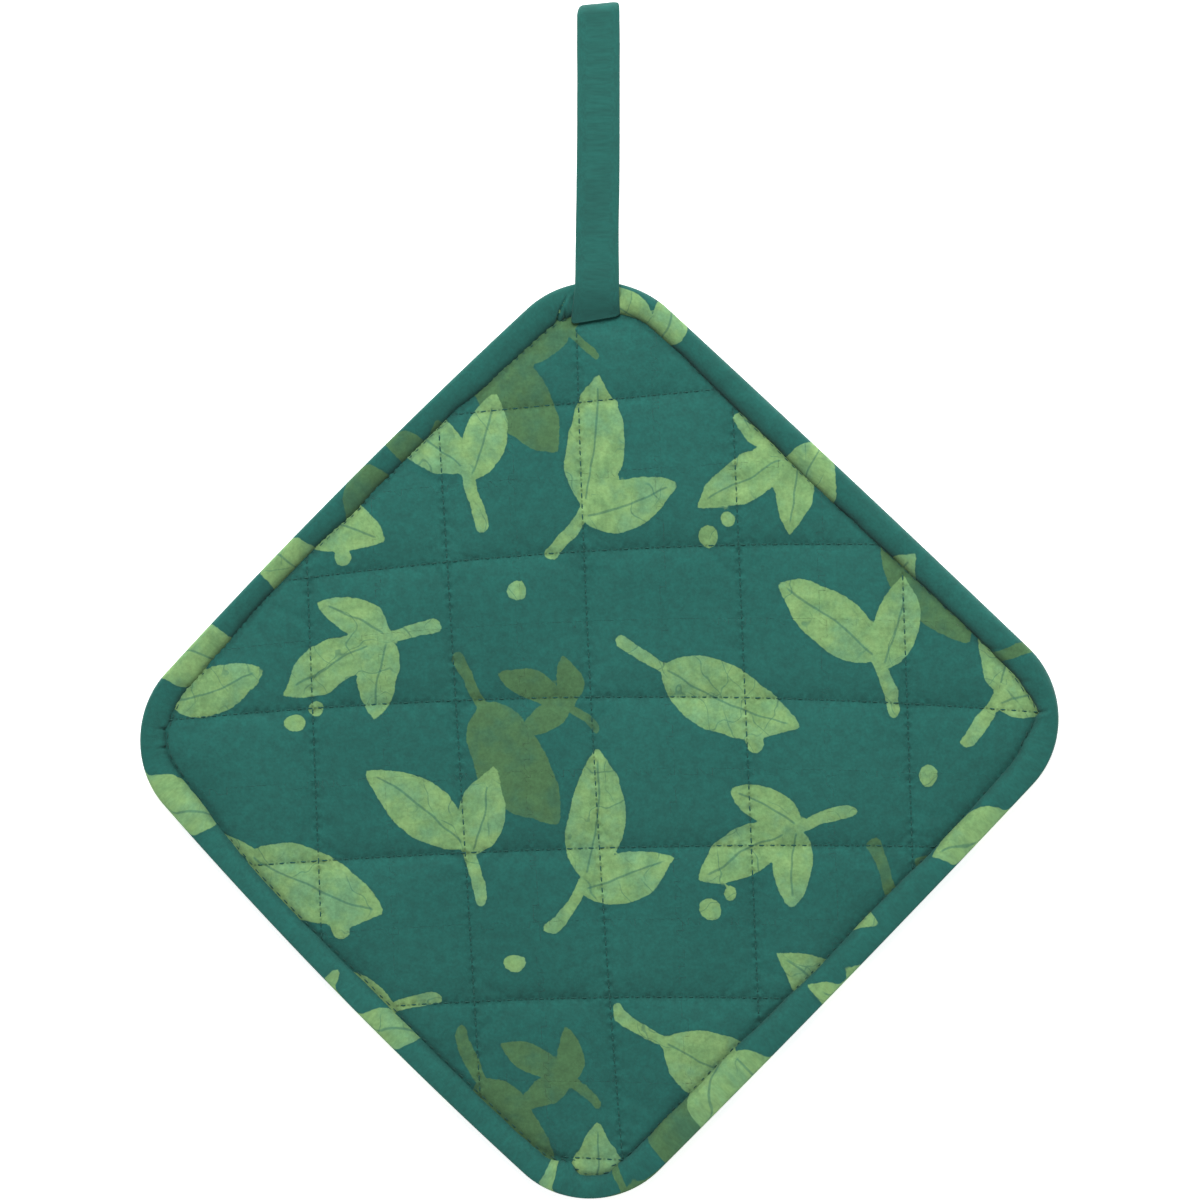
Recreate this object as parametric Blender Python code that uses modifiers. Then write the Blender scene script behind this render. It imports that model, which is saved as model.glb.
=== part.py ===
"""Pot holder: a quilted cotton square with a bound edge, hung by a folded strap at one corner.

Metres. The origin is the middle of the footprint on the surface that the pot holder lies on, +Y runs
towards the hanging loop and +Z up out of the printed face. The tables below are in millimetres.
"""

import math

import bmesh
import bpy
import numpy as np

MM = 0.001

# Corner points of the square before rounding, clockwise from the corner with the loop.
CORNERS = (
    {"x": -0.4, "y": 106.9, "radius": 28.5},
    {"x": 149.9, "y": -34.3, "radius": 28.9},
    {"x": -1.7, "y": -190.8, "radius": 27.9},
    {"x": -147.8, "y": -41.5, "radius": 25.9},
)
# Each side runs from its corner to the next one; bow is how far its middle stands out.
SIDES = (
    {"bow": 0.7, "binding": 9.0},
    {"bow": 1.15, "binding": 9.0},
    {"bow": 3.9, "binding": 8.7},
    {"bow": 2.9, "binding": 7.8},
)
CORNER_BLEND = 8.0
PAD_MIDDLE = (-1.1, -39.9)

# Lines of quilting: place in the middle, lean and bend, from PAD_MIDDLE's height.
UPRIGHT_LINES = (
    {"at": -85.7, "lean": -0.039, "bend": 0.0},
    {"at": -42.4, "lean": -0.062, "bend": 0.0},
    {"at": -1.9, "lean": -0.0547, "bend": 0.00012},
    {"at": 44.3, "lean": -0.0425, "bend": 0.0},
    {"at": 92.8, "lean": -0.035, "bend": 0.0},
)
LEVEL_LINES = (
    {"at": -127.8, "lean": -0.05, "bend": 0.0},
    {"at": -79.4, "lean": 0.017, "bend": -0.0004},
    {"at": -34.5, "lean": 0.027, "bend": -0.00023},
    {"at": 10.8, "lean": 0.010, "bend": -0.00034},
    {"at": 54.8, "lean": 0.057, "bend": -0.00042},
    {"at": 99.8, "lean": 0.096, "bend": 0.0},
)
LEFT_MARGIN, RIGHT_MARGIN = 62.0, 52.0
LOWER_MARGIN, UPPER_MARGIN = 22.0, 46.0
# Where the surface is divided between two lines, as shares of the distance.
CELL_SHARES = (0.0, 0.04, 0.13, 0.32, 0.68, 0.87, 0.96)

# Heights of the quilted pad.
CROWN = 7.0
CHANNEL_FRONT = 4.8
CHANNEL_BACK = 1.4
BACK_FLAT_FROM = 0.68
STEEP_RISE, STEEP_SHARE = 2.2, 0.55
SOFT_RISE = 9.0
EDGE_CLEARANCE = 0.4

# Edge binding: section across the edge, as share of the visible width and height from the middle.
MIDDLE_HEIGHT = 3.4
BINDING_WALL = 1.1
BINDING_SECTION = (
    {"share": 1.0, "lift": 2.4},
    {"share": 0.78, "lift": 3.2},
    {"share": 0.45, "lift": 3.4},
    {"share": 0.16, "lift": 2.6},
    {"share": 0.03, "lift": 1.2},
    {"share": 0.0, "lift": 0.0},
)
EDGE_STATIONS = 116
CORNER_CROWDING = 36.0
# Flattened rim of the pad inside the binding: share of the binding's width, more past it, half thickness.
FLANGE = (
    {"share": 1.0, "past": EDGE_CLEARANCE, "lift": 1.0},
    {"share": 0.7, "past": 0.0, "lift": 1.35},
    {"share": 0.36, "past": 0.0, "lift": 1.3},
    {"share": 0.18, "past": 0.0, "lift": 0.5},
)
TRIM_HALF_HEIGHT = 12.0

# The edge is pressed flat where the loop is sewn over it.
SQUASH_REACH, SQUASH_FADE, SQUASH_START = 21.0, 9.0, 62.0
SQUASHED_LIFT, SQUASH_POWER = 1.9, 0.3
SQUASHED_FLANGE = 0.3

# Hanging loop: rows up the front leg, from its sewn end to the fold.
STRAP_THICKNESS = 1.2
STRAP_BEVEL = 0.3
STRAP_ROWS = (
    {"y": 84.3, "x": -1.0, "width": 15.0, "under": 5.6},
    {"y": 86.5, "x": -0.9, "width": 14.6, "under": 5.6},
    {"y": 90.0, "x": -0.75, "width": 13.8, "under": 5.6},
    {"y": 95.0, "x": -0.6, "width": 13.2, "under": 5.6},
    {"y": 103.0, "x": -0.55, "width": 13.0, "under": 5.65},
    {"y": 115.0, "x": -0.45, "width": 12.9, "under": 5.8},
    {"y": 130.0, "x": -0.35, "width": 12.9, "under": 6.0},
    {"y": 147.0, "x": -0.25, "width": 12.8, "under": 6.2},
    {"y": 163.0, "x": -0.2, "width": 12.8, "under": 6.35},
    {"y": 172.0, "x": -0.15, "width": 12.8, "under": 6.4},
)
FOLD_CENTRE = 175.0
FOLD_STEPS = 10
FOLD_SLANT = 0.19
SLANT_FROM = 150.0
FOLD_NARROWING = 0.9

COLOURS = {
    "quilted_pad": (0.0273, 0.1356, 0.1144),
    "edge_binding": (0.0212, 0.1195, 0.0999),
    "hanging_loop": (0.0319, 0.1559, 0.1274),
}


def smooth(value):
    """Eases a share between 0 and 1."""
    value = np.clip(value, 0.0, 1.0)
    return value * value * (3.0 - 2.0 * value)


def side_distances(points):
    """Distance inwards from each of the four sides, one row for each side."""
    rows = []
    for index, side in enumerate(SIDES):
        start = CORNERS[index]
        end = CORNERS[(index + 1) % len(CORNERS)]
        first = np.array((start["x"], start["y"]))
        last = np.array((end["x"], end["y"]))
        length = np.linalg.norm(last - first)
        along = (last - first) / length
        inward = np.array((along[1], -along[0]))
        place = (points - (first + last) / 2.0) @ along / (length / 2.0)
        rows.append((points - first) @ inward + side["bow"] * (1.0 - place**2))
    return np.array(rows)


def inset(points):
    """Distance inwards from the rounded outline."""
    rows = side_distances(points)
    result = rows.min(axis=0)
    for index, corner in enumerate(CORNERS):
        radius = corner["radius"]
        before = rows[index - 1]
        after = rows[index]
        short_before = np.maximum(radius - before, 0.0)
        short_after = np.maximum(radius - after, 0.0)
        rounded = radius - np.hypot(short_before, short_after)
        near = (before < radius) & (after < radius)
        result = np.where(near, rounded, result)
    return result


def binding_width(points):
    """Visible width of the binding by the nearest sides."""
    rows = side_distances(points)
    weights = np.exp(-(rows - rows.min(axis=0)) / CORNER_BLEND)
    widths = np.array([side["binding"] for side in SIDES])
    return (weights * widths[:, None]).sum(axis=0) / weights.sum(axis=0)


def squash(points):
    """How far the sewing of the loop presses the edge flat, 0 to 1."""
    across = np.abs(points[:, 0] - STRAP_ROWS[0]["x"])
    share = (SQUASH_REACH - across) / SQUASH_FADE
    height = (points[:, 1] - SQUASH_START) / SQUASH_FADE
    return smooth(share) * smooth(height)


def outline_stations(count):
    """Points round the outline, closer at the corners, and their inward directions."""
    angles = np.linspace(math.pi / 2.0, -1.5 * math.pi, 2400, endpoint=False)
    rays = np.column_stack((np.cos(angles), np.sin(angles)))
    middle = np.array(PAD_MIDDLE)
    low = np.full(len(rays), 60.0)
    high = np.full(len(rays), 200.0)
    for _ in range(40):
        trial = (low + high) / 2.0
        inside = inset(middle + rays * trial[:, None]) > 0.0
        low = np.where(inside, trial, low)
        high = np.where(inside, high, trial)
    dense = middle + rays * low[:, None]
    step = np.roll(dense, -1, axis=0) - dense
    length = np.linalg.norm(step, axis=1)
    heading = np.unwrap(np.arctan2(step[:, 1], step[:, 0]))
    turn = np.abs(np.gradient(heading))
    travel = np.concatenate(([0.0], np.cumsum(length + CORNER_CROWDING * turn)))
    wanted = np.linspace(0.0, travel[-1], count, endpoint=False)
    closed = np.vstack((dense, dense[:1]))
    points = np.column_stack([np.interp(wanted, travel, closed[:, axis]) for axis in (0, 1)])
    nudge = 0.05
    shifts = (np.array((nudge, 0.0)), np.array((0.0, nudge)))
    inward = np.column_stack([inset(points + shift) - inset(points - shift) for shift in shifts])
    inward /= np.linalg.norm(inward, axis=1)[:, None]
    return points, inward


def line_places(lines, across):
    """Place of each line of quilting at the given distances along it."""
    return [line["at"] + line["lean"] * across + line["bend"] * across**2 for line in lines]


def rise(distance):
    """How far the filling has risen at a distance from a seam, 0 to 1."""
    steep = STEEP_SHARE * np.exp(-distance / STEEP_RISE)
    soft = (1.0 - STEEP_SHARE) * np.exp(-distance / SOFT_RISE)
    return 1.0 - steep - soft


def relief(points):
    """Height of the quilted face between its channels, 0 at a seam and near 1 on a crown."""
    height = points[:, 1] - PAD_MIDDLE[1]
    upright = line_places(UPRIGHT_LINES, height)
    level = line_places(LEVEL_LINES, points[:, 0])
    from_upright = np.min([np.abs(points[:, 0] - place) for place in upright], axis=0)
    from_level = np.min([np.abs(height - place) for place in level], axis=0)
    from_edge = np.maximum(inset(points) - binding_width(points) - EDGE_CLEARANCE, 0.0)
    return rise(from_upright) * rise(from_level) * rise(from_edge) * (1.0 - squash(points))


def grid_lines(lines, lower_margin, upper_margin):
    """Pairs of neighbouring lines with the share of the way between them, for each grid line."""
    lower = dict(lines[0], at=lines[0]["at"] - lower_margin)
    upper = dict(lines[-1], at=lines[-1]["at"] + upper_margin)
    row = (lower, *lines, upper)
    table = [(first, last, share) for first, last in zip(row, row[1:]) for share in CELL_SHARES]
    table.append((row[-2], row[-1], 1.0))
    return table


def place_on(table, across):
    """Place of each grid line at the distances along it; one row of across for each line."""
    rows = []
    for (first, last, share), along in zip(table, across):
        start, end = line_places((first, last), along)
        rows.append((1.0 - share) * start + share * end)
    return np.array(rows)


def quilt_points():
    """Grid of points whose lines lie on the quilting, as columns by rows."""
    columns = grid_lines(UPRIGHT_LINES, LEFT_MARGIN, RIGHT_MARGIN)
    rows = grid_lines(LEVEL_LINES, LOWER_MARGIN, UPPER_MARGIN)
    height = np.zeros((len(columns), len(rows)))
    for _ in range(8):
        across = place_on(columns, height)
        height = place_on(rows, across.T).T
    return across, height + PAD_MIDDLE[1]


def new_object(name, mesh, group):
    """Puts a mesh in a collection under a name."""
    mesh.update()
    made = bpy.data.objects.new(name, mesh)
    group.objects.link(made)
    return made


def mesh_from(maker, name):
    """Closes a bmesh, turns its faces outwards and gives it as a mesh."""
    bmesh.ops.recalc_face_normals(maker, faces=maker.faces)
    mesh = bpy.data.meshes.new(name)
    maker.to_mesh(mesh)
    maker.free()
    return mesh


def loft(rings, ends=True):
    """Skins rings of points into a bmesh, with a face over each end if asked."""
    maker = bmesh.new()
    made = [[maker.verts.new(point * MM) for point in ring] for ring in rings]
    size = len(rings[0])
    for here, there in zip(made, made[1:]):
        for corner in range(size):
            after = (corner + 1) % size
            maker.faces.new((here[corner], here[after], there[after], there[corner]))
    if ends:
        maker.faces.new(made[0])
        maker.faces.new(made[-1])
    return maker


def grid_places(verts, across, height):
    """Points on the quilting grid for vertices of a flat grid two units wide."""
    columns, rows = across.shape
    flat = np.array([vert.co[:2] for vert in verts])
    column = np.rint((flat[:, 0] + 1.0) / 2.0 * (columns - 1)).astype(int)
    row = np.rint((flat[:, 1] + 1.0) / 2.0 * (rows - 1)).astype(int)
    return np.column_stack((across[column, row], height[column, row]))


def quilted_slab(group):
    """The quilted cloths and their filling before the edge is trimmed."""
    across, height = quilt_points()
    columns, rows = across.shape
    maker = bmesh.new()
    bmesh.ops.create_grid(maker, x_segments=columns - 1, y_segments=rows - 1, size=1.0)
    bmesh.ops.triangulate(maker, faces=maker.faces)
    front = list(maker.verts)
    made = bmesh.ops.extrude_face_region(maker, geom=list(maker.faces), use_keep_orig=True)
    back = [item for item in made["geom"] if isinstance(item, bmesh.types.BMVert)]
    front_points = grid_places(front, across, height)
    back_points = grid_places(back, across, height)
    tops = CHANNEL_FRONT + (CROWN - CHANNEL_FRONT) * relief(front_points)
    bottoms = CHANNEL_BACK * np.clip(1.0 - relief(back_points) / BACK_FLAT_FROM, 0.0, 1.0)
    for verts, points, levels in ((front, front_points, tops), (back, back_points, bottoms)):
        for vert, (x, y), level in zip(verts, points, levels):
            vert.co = (x * MM, y * MM, level * MM)
    return new_object("quilted_pad", mesh_from(maker, "quilted_pad"), group)


def trimming_solid(group):
    """What is kept of the slab: the face inside the binding and a flat rim that runs into it."""
    points, inward = outline_stations(EDGE_STATIONS)
    width = binding_width(points)
    pressed = squash(points)
    half = []
    for row in FLANGE:
        depth = width * row["share"] + row["past"]
        half.append((depth, row["lift"] * (1.0 - (1.0 - SQUASHED_FLANGE) * pressed)))
    loops = [(half[0][0], -TRIM_HALF_HEIGHT)]
    loops += [(depth, -lift) for depth, lift in half]
    loops += [(depth, lift) for depth, lift in reversed(half)]
    loops += [(half[0][0], TRIM_HALF_HEIGHT)]
    rings = []
    for depth, lift in loops:
        flat = points + inward * depth[:, None]
        rings.append(np.column_stack((flat, MIDDLE_HEIGHT + np.broadcast_to(lift, len(flat)))))
    maker = loft(rings)
    bmesh.ops.triangulate(maker, faces=maker.faces)
    return new_object("pad_trim", mesh_from(maker, "pad_trim"), group)


def quilted_pad(group, cutters):
    """Front cloth, filling and back cloth quilted together as one solid."""
    pad = quilted_slab(group)
    trim = trimming_solid(cutters)
    trim.hide_render = True
    trim.display_type = "WIRE"
    cut = pad.modifiers.new("trim", "BOOLEAN")
    cut.operation = "INTERSECT"
    cut.solver = "EXACT"
    cut.object = trim
    return pad


def edge_binding(group):
    """Tape folded over the edge, one ring with a C-shaped section."""
    points, inward = outline_stations(EDGE_STATIONS)
    width = binding_width(points)
    pressed = squash(points)
    section = [(row["share"], row["lift"]) for row in BINDING_SECTION]
    section += [(share, -lift) for share, lift in reversed(section[:-1])]
    columns = []
    for share, lift in section:
        flat = points + inward * (width * share)[:, None]
        size = abs(lift) / MIDDLE_HEIGHT
        squashed = math.copysign(SQUASHED_LIFT * size**SQUASH_POWER, lift) if lift else 0.0
        height = MIDDLE_HEIGHT + lift + (squashed - lift) * pressed
        columns.append(np.column_stack((flat, height)))
    mesh = mesh_from(loft(columns, ends=False), "edge_binding")
    ring = new_object("edge_binding", mesh, group)
    outward = mesh.polygons[0].normal.z
    wall = ring.modifiers.new("wall", "SOLIDIFY")
    wall.thickness = BINDING_WALL * MM
    wall.offset = -1.0 if outward > 0.0 else 1.0
    wall.use_even_offset = True
    return ring


def strap_path():
    """Middle line of the strap from its front end over the fold to its back end."""
    half = STRAP_THICKNESS / 2.0
    front = [(row["x"], row["y"], row["under"] + half, row["width"]) for row in STRAP_ROWS]
    back = [(row["x"], row["y"], half, row["width"]) for row in reversed(STRAP_ROWS)]
    top = front[-1][2]
    radius = (top - half) / 2.0
    last = STRAP_ROWS[-1]
    fold = []
    for angle in np.linspace(0.0, math.pi, FOLD_STEPS + 1):
        across = FOLD_CENTRE + radius * math.sin(angle)
        height = half + radius + radius * math.cos(angle)
        width = last["width"] - FOLD_NARROWING * math.sin(angle) ** 4
        fold.append((last["x"], across, height, width))
    return np.array(front + fold + back)


def hanging_loop(group):
    """Flat strap folded in two, one leg over the front of the corner and one behind it."""
    path = strap_path()
    half = STRAP_THICKNESS / 2.0
    travel = np.gradient(path[:, 1:3], axis=0)
    travel /= np.linalg.norm(travel, axis=1)[:, None]
    outward = np.column_stack((-travel[:, 1], travel[:, 0]))
    rings = []
    for (x, y, z, width), (away_y, away_z) in zip(path, outward):
        reach = width / 2.0
        shape = (
            (-reach, half - STRAP_BEVEL),
            (-reach + STRAP_BEVEL, half),
            (reach - STRAP_BEVEL, half),
            (reach, half - STRAP_BEVEL),
            (reach, STRAP_BEVEL - half),
            (reach - STRAP_BEVEL, -half),
            (-reach + STRAP_BEVEL, -half),
            (-reach, STRAP_BEVEL - half),
        )
        slant = FOLD_SLANT * float(smooth((y - SLANT_FROM) / (FOLD_CENTRE - SLANT_FROM)))
        side, out = np.array(shape).T
        rings.append(np.column_stack((x + side, y + away_y * out + slant * side, z + away_z * out)))
    strap = mesh_from(loft(rings), "hanging_loop")
    return new_object("hanging_loop", strap, group)


def set_finish(made):
    """Plain woven cotton in the colour of the piece."""
    material = bpy.data.materials.new(made.name + "_cloth")
    material.use_nodes = True
    shader = material.node_tree.nodes["Principled BSDF"]
    shader.inputs["Base Color"].default_value = (*COLOURS[made.name], 1.0)
    shader.inputs["Roughness"].default_value = 0.9
    made.data.materials.append(material)


def main():
    """Builds the pot holder."""
    for item in list(bpy.data.objects):
        bpy.data.objects.remove(item, do_unlink=True)
    group = bpy.data.collections.new("pot_holder")
    cutters = bpy.data.collections.new("cutters")
    bpy.context.scene.collection.children.link(group)
    bpy.context.scene.collection.children.link(cutters)
    for made in (quilted_pad(group, cutters), edge_binding(group), hanging_loop(group)):
        set_finish(made)


main()
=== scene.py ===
"""Dressed pot holder for the picture scene.

Three pieces of cloth stand for the three solids of the frame: the quilted pad, the tape folded over
its edge and the strap that it hangs by. Thread is a piece of its own. Shapes are worked out in
millimetres and put into the meshes in metres, on the frame's own axes: +Y towards the strap, +Z up
out of the printed face, and the back cloth on the surface at zero.
"""

import logging
import math
from dataclasses import dataclass
from enum import Enum
from typing import Callable, Mapping, Sequence, TypeVar, Union

import bpy
import numpy as np
from numpy.typing import NDArray
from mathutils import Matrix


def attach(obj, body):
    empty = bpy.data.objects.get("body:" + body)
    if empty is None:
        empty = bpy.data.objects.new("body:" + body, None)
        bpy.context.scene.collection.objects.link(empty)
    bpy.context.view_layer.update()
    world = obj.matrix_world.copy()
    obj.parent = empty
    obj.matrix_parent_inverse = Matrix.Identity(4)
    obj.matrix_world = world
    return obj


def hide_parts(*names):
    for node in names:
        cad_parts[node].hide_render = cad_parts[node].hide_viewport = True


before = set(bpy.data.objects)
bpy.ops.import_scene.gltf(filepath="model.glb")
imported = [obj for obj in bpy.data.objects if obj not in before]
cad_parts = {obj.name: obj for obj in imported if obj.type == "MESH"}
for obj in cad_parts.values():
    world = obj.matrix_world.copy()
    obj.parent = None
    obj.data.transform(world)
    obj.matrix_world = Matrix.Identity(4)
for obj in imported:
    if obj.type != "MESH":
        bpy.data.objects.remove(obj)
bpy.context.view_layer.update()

logging.basicConfig(level=logging.INFO, format="%(name)s: %(message)s")
LOG = logging.getLogger("pot_holder")

Array = NDArray[np.float64]
Whole = NDArray[np.int64]
Colour = tuple[float, float, float]
Socket = bpy.types.NodeSocket
Value = Union[float, Colour, Socket]
Record = TypeVar("Record")

MM = 0.001
BODY = "root"
PAD_NAME = "pad_cloths"
TAPE_NAME = "edge_tape"
STRAP_NAME = "hanging_strap"
THREAD_NAME = "quilting_thread"
SEAM_THREAD_NAME = "edge_seam_thread"
CLOTH_UV = "cloth"
LATTICE_SIDE = 97
TINY = 1e-9
WHITE = (1.0, 1.0, 1.0)
FAR_FROM_PAINTED_SHADE = 9.0


class Face(Enum):
    """Which side of the pot holder a surface belongs to."""

    FRONT = 1
    BACK = -1


class ClothCoordinates(Enum):
    """Where a cloth's weave takes its place from."""

    OBJECT = "Object"
    UV = "UV"


class SprigForm(Enum):
    """How the leaves of a printed sprig are set on its stem."""

    SINGLE = "single"
    PAIR = "pair"
    FAN = "fan"


def records(kind: Callable[..., Record], *rows: Sequence[object]) -> tuple[Record, ...]:
    """Rows of a table as records of one kind."""
    return tuple(kind(*row) for row in rows)


def hold(value: Array) -> Array:
    """A share held between 0 and 1."""
    return np.clip(value, 0.0, 1.0)


def ease(value: Array) -> Array:
    """Eases a share between 0 and 1: three squares less two cubes, held at both ends."""
    share = hold(value)
    return share * share * (3.0 - 2.0 * share)


def unit(vectors: Array) -> Array:
    """Vectors along the last axis, brought to length one."""
    return vectors / np.maximum(np.linalg.norm(vectors, axis=-1, keepdims=True), TINY)


def travel_along(line: Array) -> Array:
    """Distance along a line of points, from nothing at its first."""
    return np.concatenate(([0.0], np.cumsum(np.linalg.norm(np.diff(line, axis=0), axis=1))))


def smooth_noise(across: Array, along: Array, cell: float, seed: int) -> Array:
    """Smooth random field: random values on a square lattice, eased between its points.

    Args:
        across: First coordinate, in millimetres.
        along: Second coordinate, in millimetres.
        cell: Lattice spacing, in millimetres.
        seed: Seed of the random values.

    Returns:
        A value between -1 and 1 for each point.
    """
    size = LATTICE_SIDE
    lattice = np.random.default_rng(seed).uniform(-1.0, 1.0, (size, size))
    u, v = across / cell, along / cell
    left, low = np.floor(u).astype(int), np.floor(v).astype(int)
    share_u, share_v = ease(u - left), ease(v - low)
    here, right = left % size, (left + 1) % size
    base, top = low % size, (low + 1) % size
    lower = lattice[here, base] * (1.0 - share_u) + lattice[right, base] * share_u
    upper = lattice[here, top] * (1.0 - share_u) + lattice[right, top] * share_u
    return lower * (1.0 - share_v) + upper * share_v


def make_piece(
    name: str,
    points: Array,
    faces: Sequence[Whole],
    corner_uv: Array | None = None,
    fields: Mapping[str, Array] | None = None,
) -> bpy.types.Object:
    """Puts whole arrays into a smooth-shaded mesh object at the origin.

    Args:
        name: Name of the piece.
        points: Points in millimetres, one row each.
        faces: Arrays of vertex numbers, one row for each face, quads and triangles apart.
        corner_uv: Cloth coordinates of each face corner, in millimetres.
        fields: Values for each point, by attribute name.

    Returns:
        The new object, linked to the scene.
    """
    mesh = bpy.data.meshes.new(name)
    corners = np.concatenate([part.ravel() for part in faces])
    sizes = np.concatenate([np.full(len(part), part.shape[1]) for part in faces])
    starts = np.concatenate(([0], np.cumsum(sizes)[:-1]))
    mesh.vertices.add(len(points))
    mesh.vertices.foreach_set("co", (points * MM).astype(np.float32).ravel())
    mesh.loops.add(len(corners))
    mesh.loops.foreach_set("vertex_index", corners.astype(np.int32))
    mesh.polygons.add(len(sizes))
    mesh.polygons.foreach_set("loop_start", starts.astype(np.int32))
    mesh.update(calc_edges=True)
    mesh.polygons.foreach_set("use_smooth", np.ones(len(sizes), bool))
    if corner_uv is not None:
        layer = mesh.uv_layers.new(name=CLOTH_UV)
        layer.uv.foreach_set("vector", (corner_uv * MM).astype(np.float32).ravel())
    for key, values in (fields or {}).items():
        attribute = mesh.attributes.new(key, "FLOAT", "POINT")
        attribute.data.foreach_set("value", values.astype(np.float32))
    mesh.validate()
    mesh.update()
    piece = bpy.data.objects.new(name, mesh)
    bpy.context.scene.collection.objects.link(piece)
    return piece


def grid_faces(rows: int, columns: int, close_rows: bool, close_columns: bool) -> Whole:
    """Quads of a grid of points, whose last row or column may join the first.

    Args:
        rows: Number of rows of points.
        columns: Number of points in a row.
        close_rows: Whether the last row joins the first.
        close_columns: Whether each row is a ring.

    Returns:
        Vertex numbers of each quad.
    """
    row = np.arange(rows if close_rows else rows - 1)[:, None]
    column = np.arange(columns if close_columns else columns - 1)[None, :]
    next_row, next_column = (row + 1) % rows, (column + 1) % columns
    quads = (
        row * columns + column,
        row * columns + next_column,
        next_row * columns + next_column,
        next_row * columns + column,
    )
    shape = (row.size, column.size)
    return np.stack([np.broadcast_to(part, shape) for part in quads], axis=-1).reshape(-1, 4)


def grid_corner_uv(along: Array, across: Array) -> Array:
    """Cloth coordinates for the corners of the quads that grid_faces gives.

    Args:
        along: Place of each row, one longer than the rows of quads.
        across: Place of each column, one longer than the columns of quads.

    Returns:
        Two coordinates for each corner, in the order of the corners.
    """
    u = np.stack((along[:-1], along[:-1], along[1:], along[1:]), axis=-1)[:, None, :]
    v = np.stack((across[:-1], across[1:], across[1:], across[:-1]), axis=-1)[None, :, :]
    shape = (len(along) - 1, len(across) - 1, 4)
    return np.stack((np.broadcast_to(u, shape), np.broadcast_to(v, shape)), axis=-1).reshape(-1, 2)


@dataclass(frozen=True)
class CornerPoint:
    """A corner of the square before rounding, in millimetres."""

    x: float
    y: float
    radius: float


@dataclass(frozen=True)
class Side:
    """A side of the square: how far its middle bows out, its ditch's height and its tape's section.

    The crest is where the tape is highest, as a share of its width. Shoulder and roll are the
    powers of its outer and its inner curve; 1 is round and less is squarer.
    """

    bow: float
    ditch: float
    crest: float
    shoulder: float
    roll: float


@dataclass(frozen=True)
class LipPoint:
    """Visible width of the tape in a direction from the pad's middle, in degrees."""

    direction: float
    width: float


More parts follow.
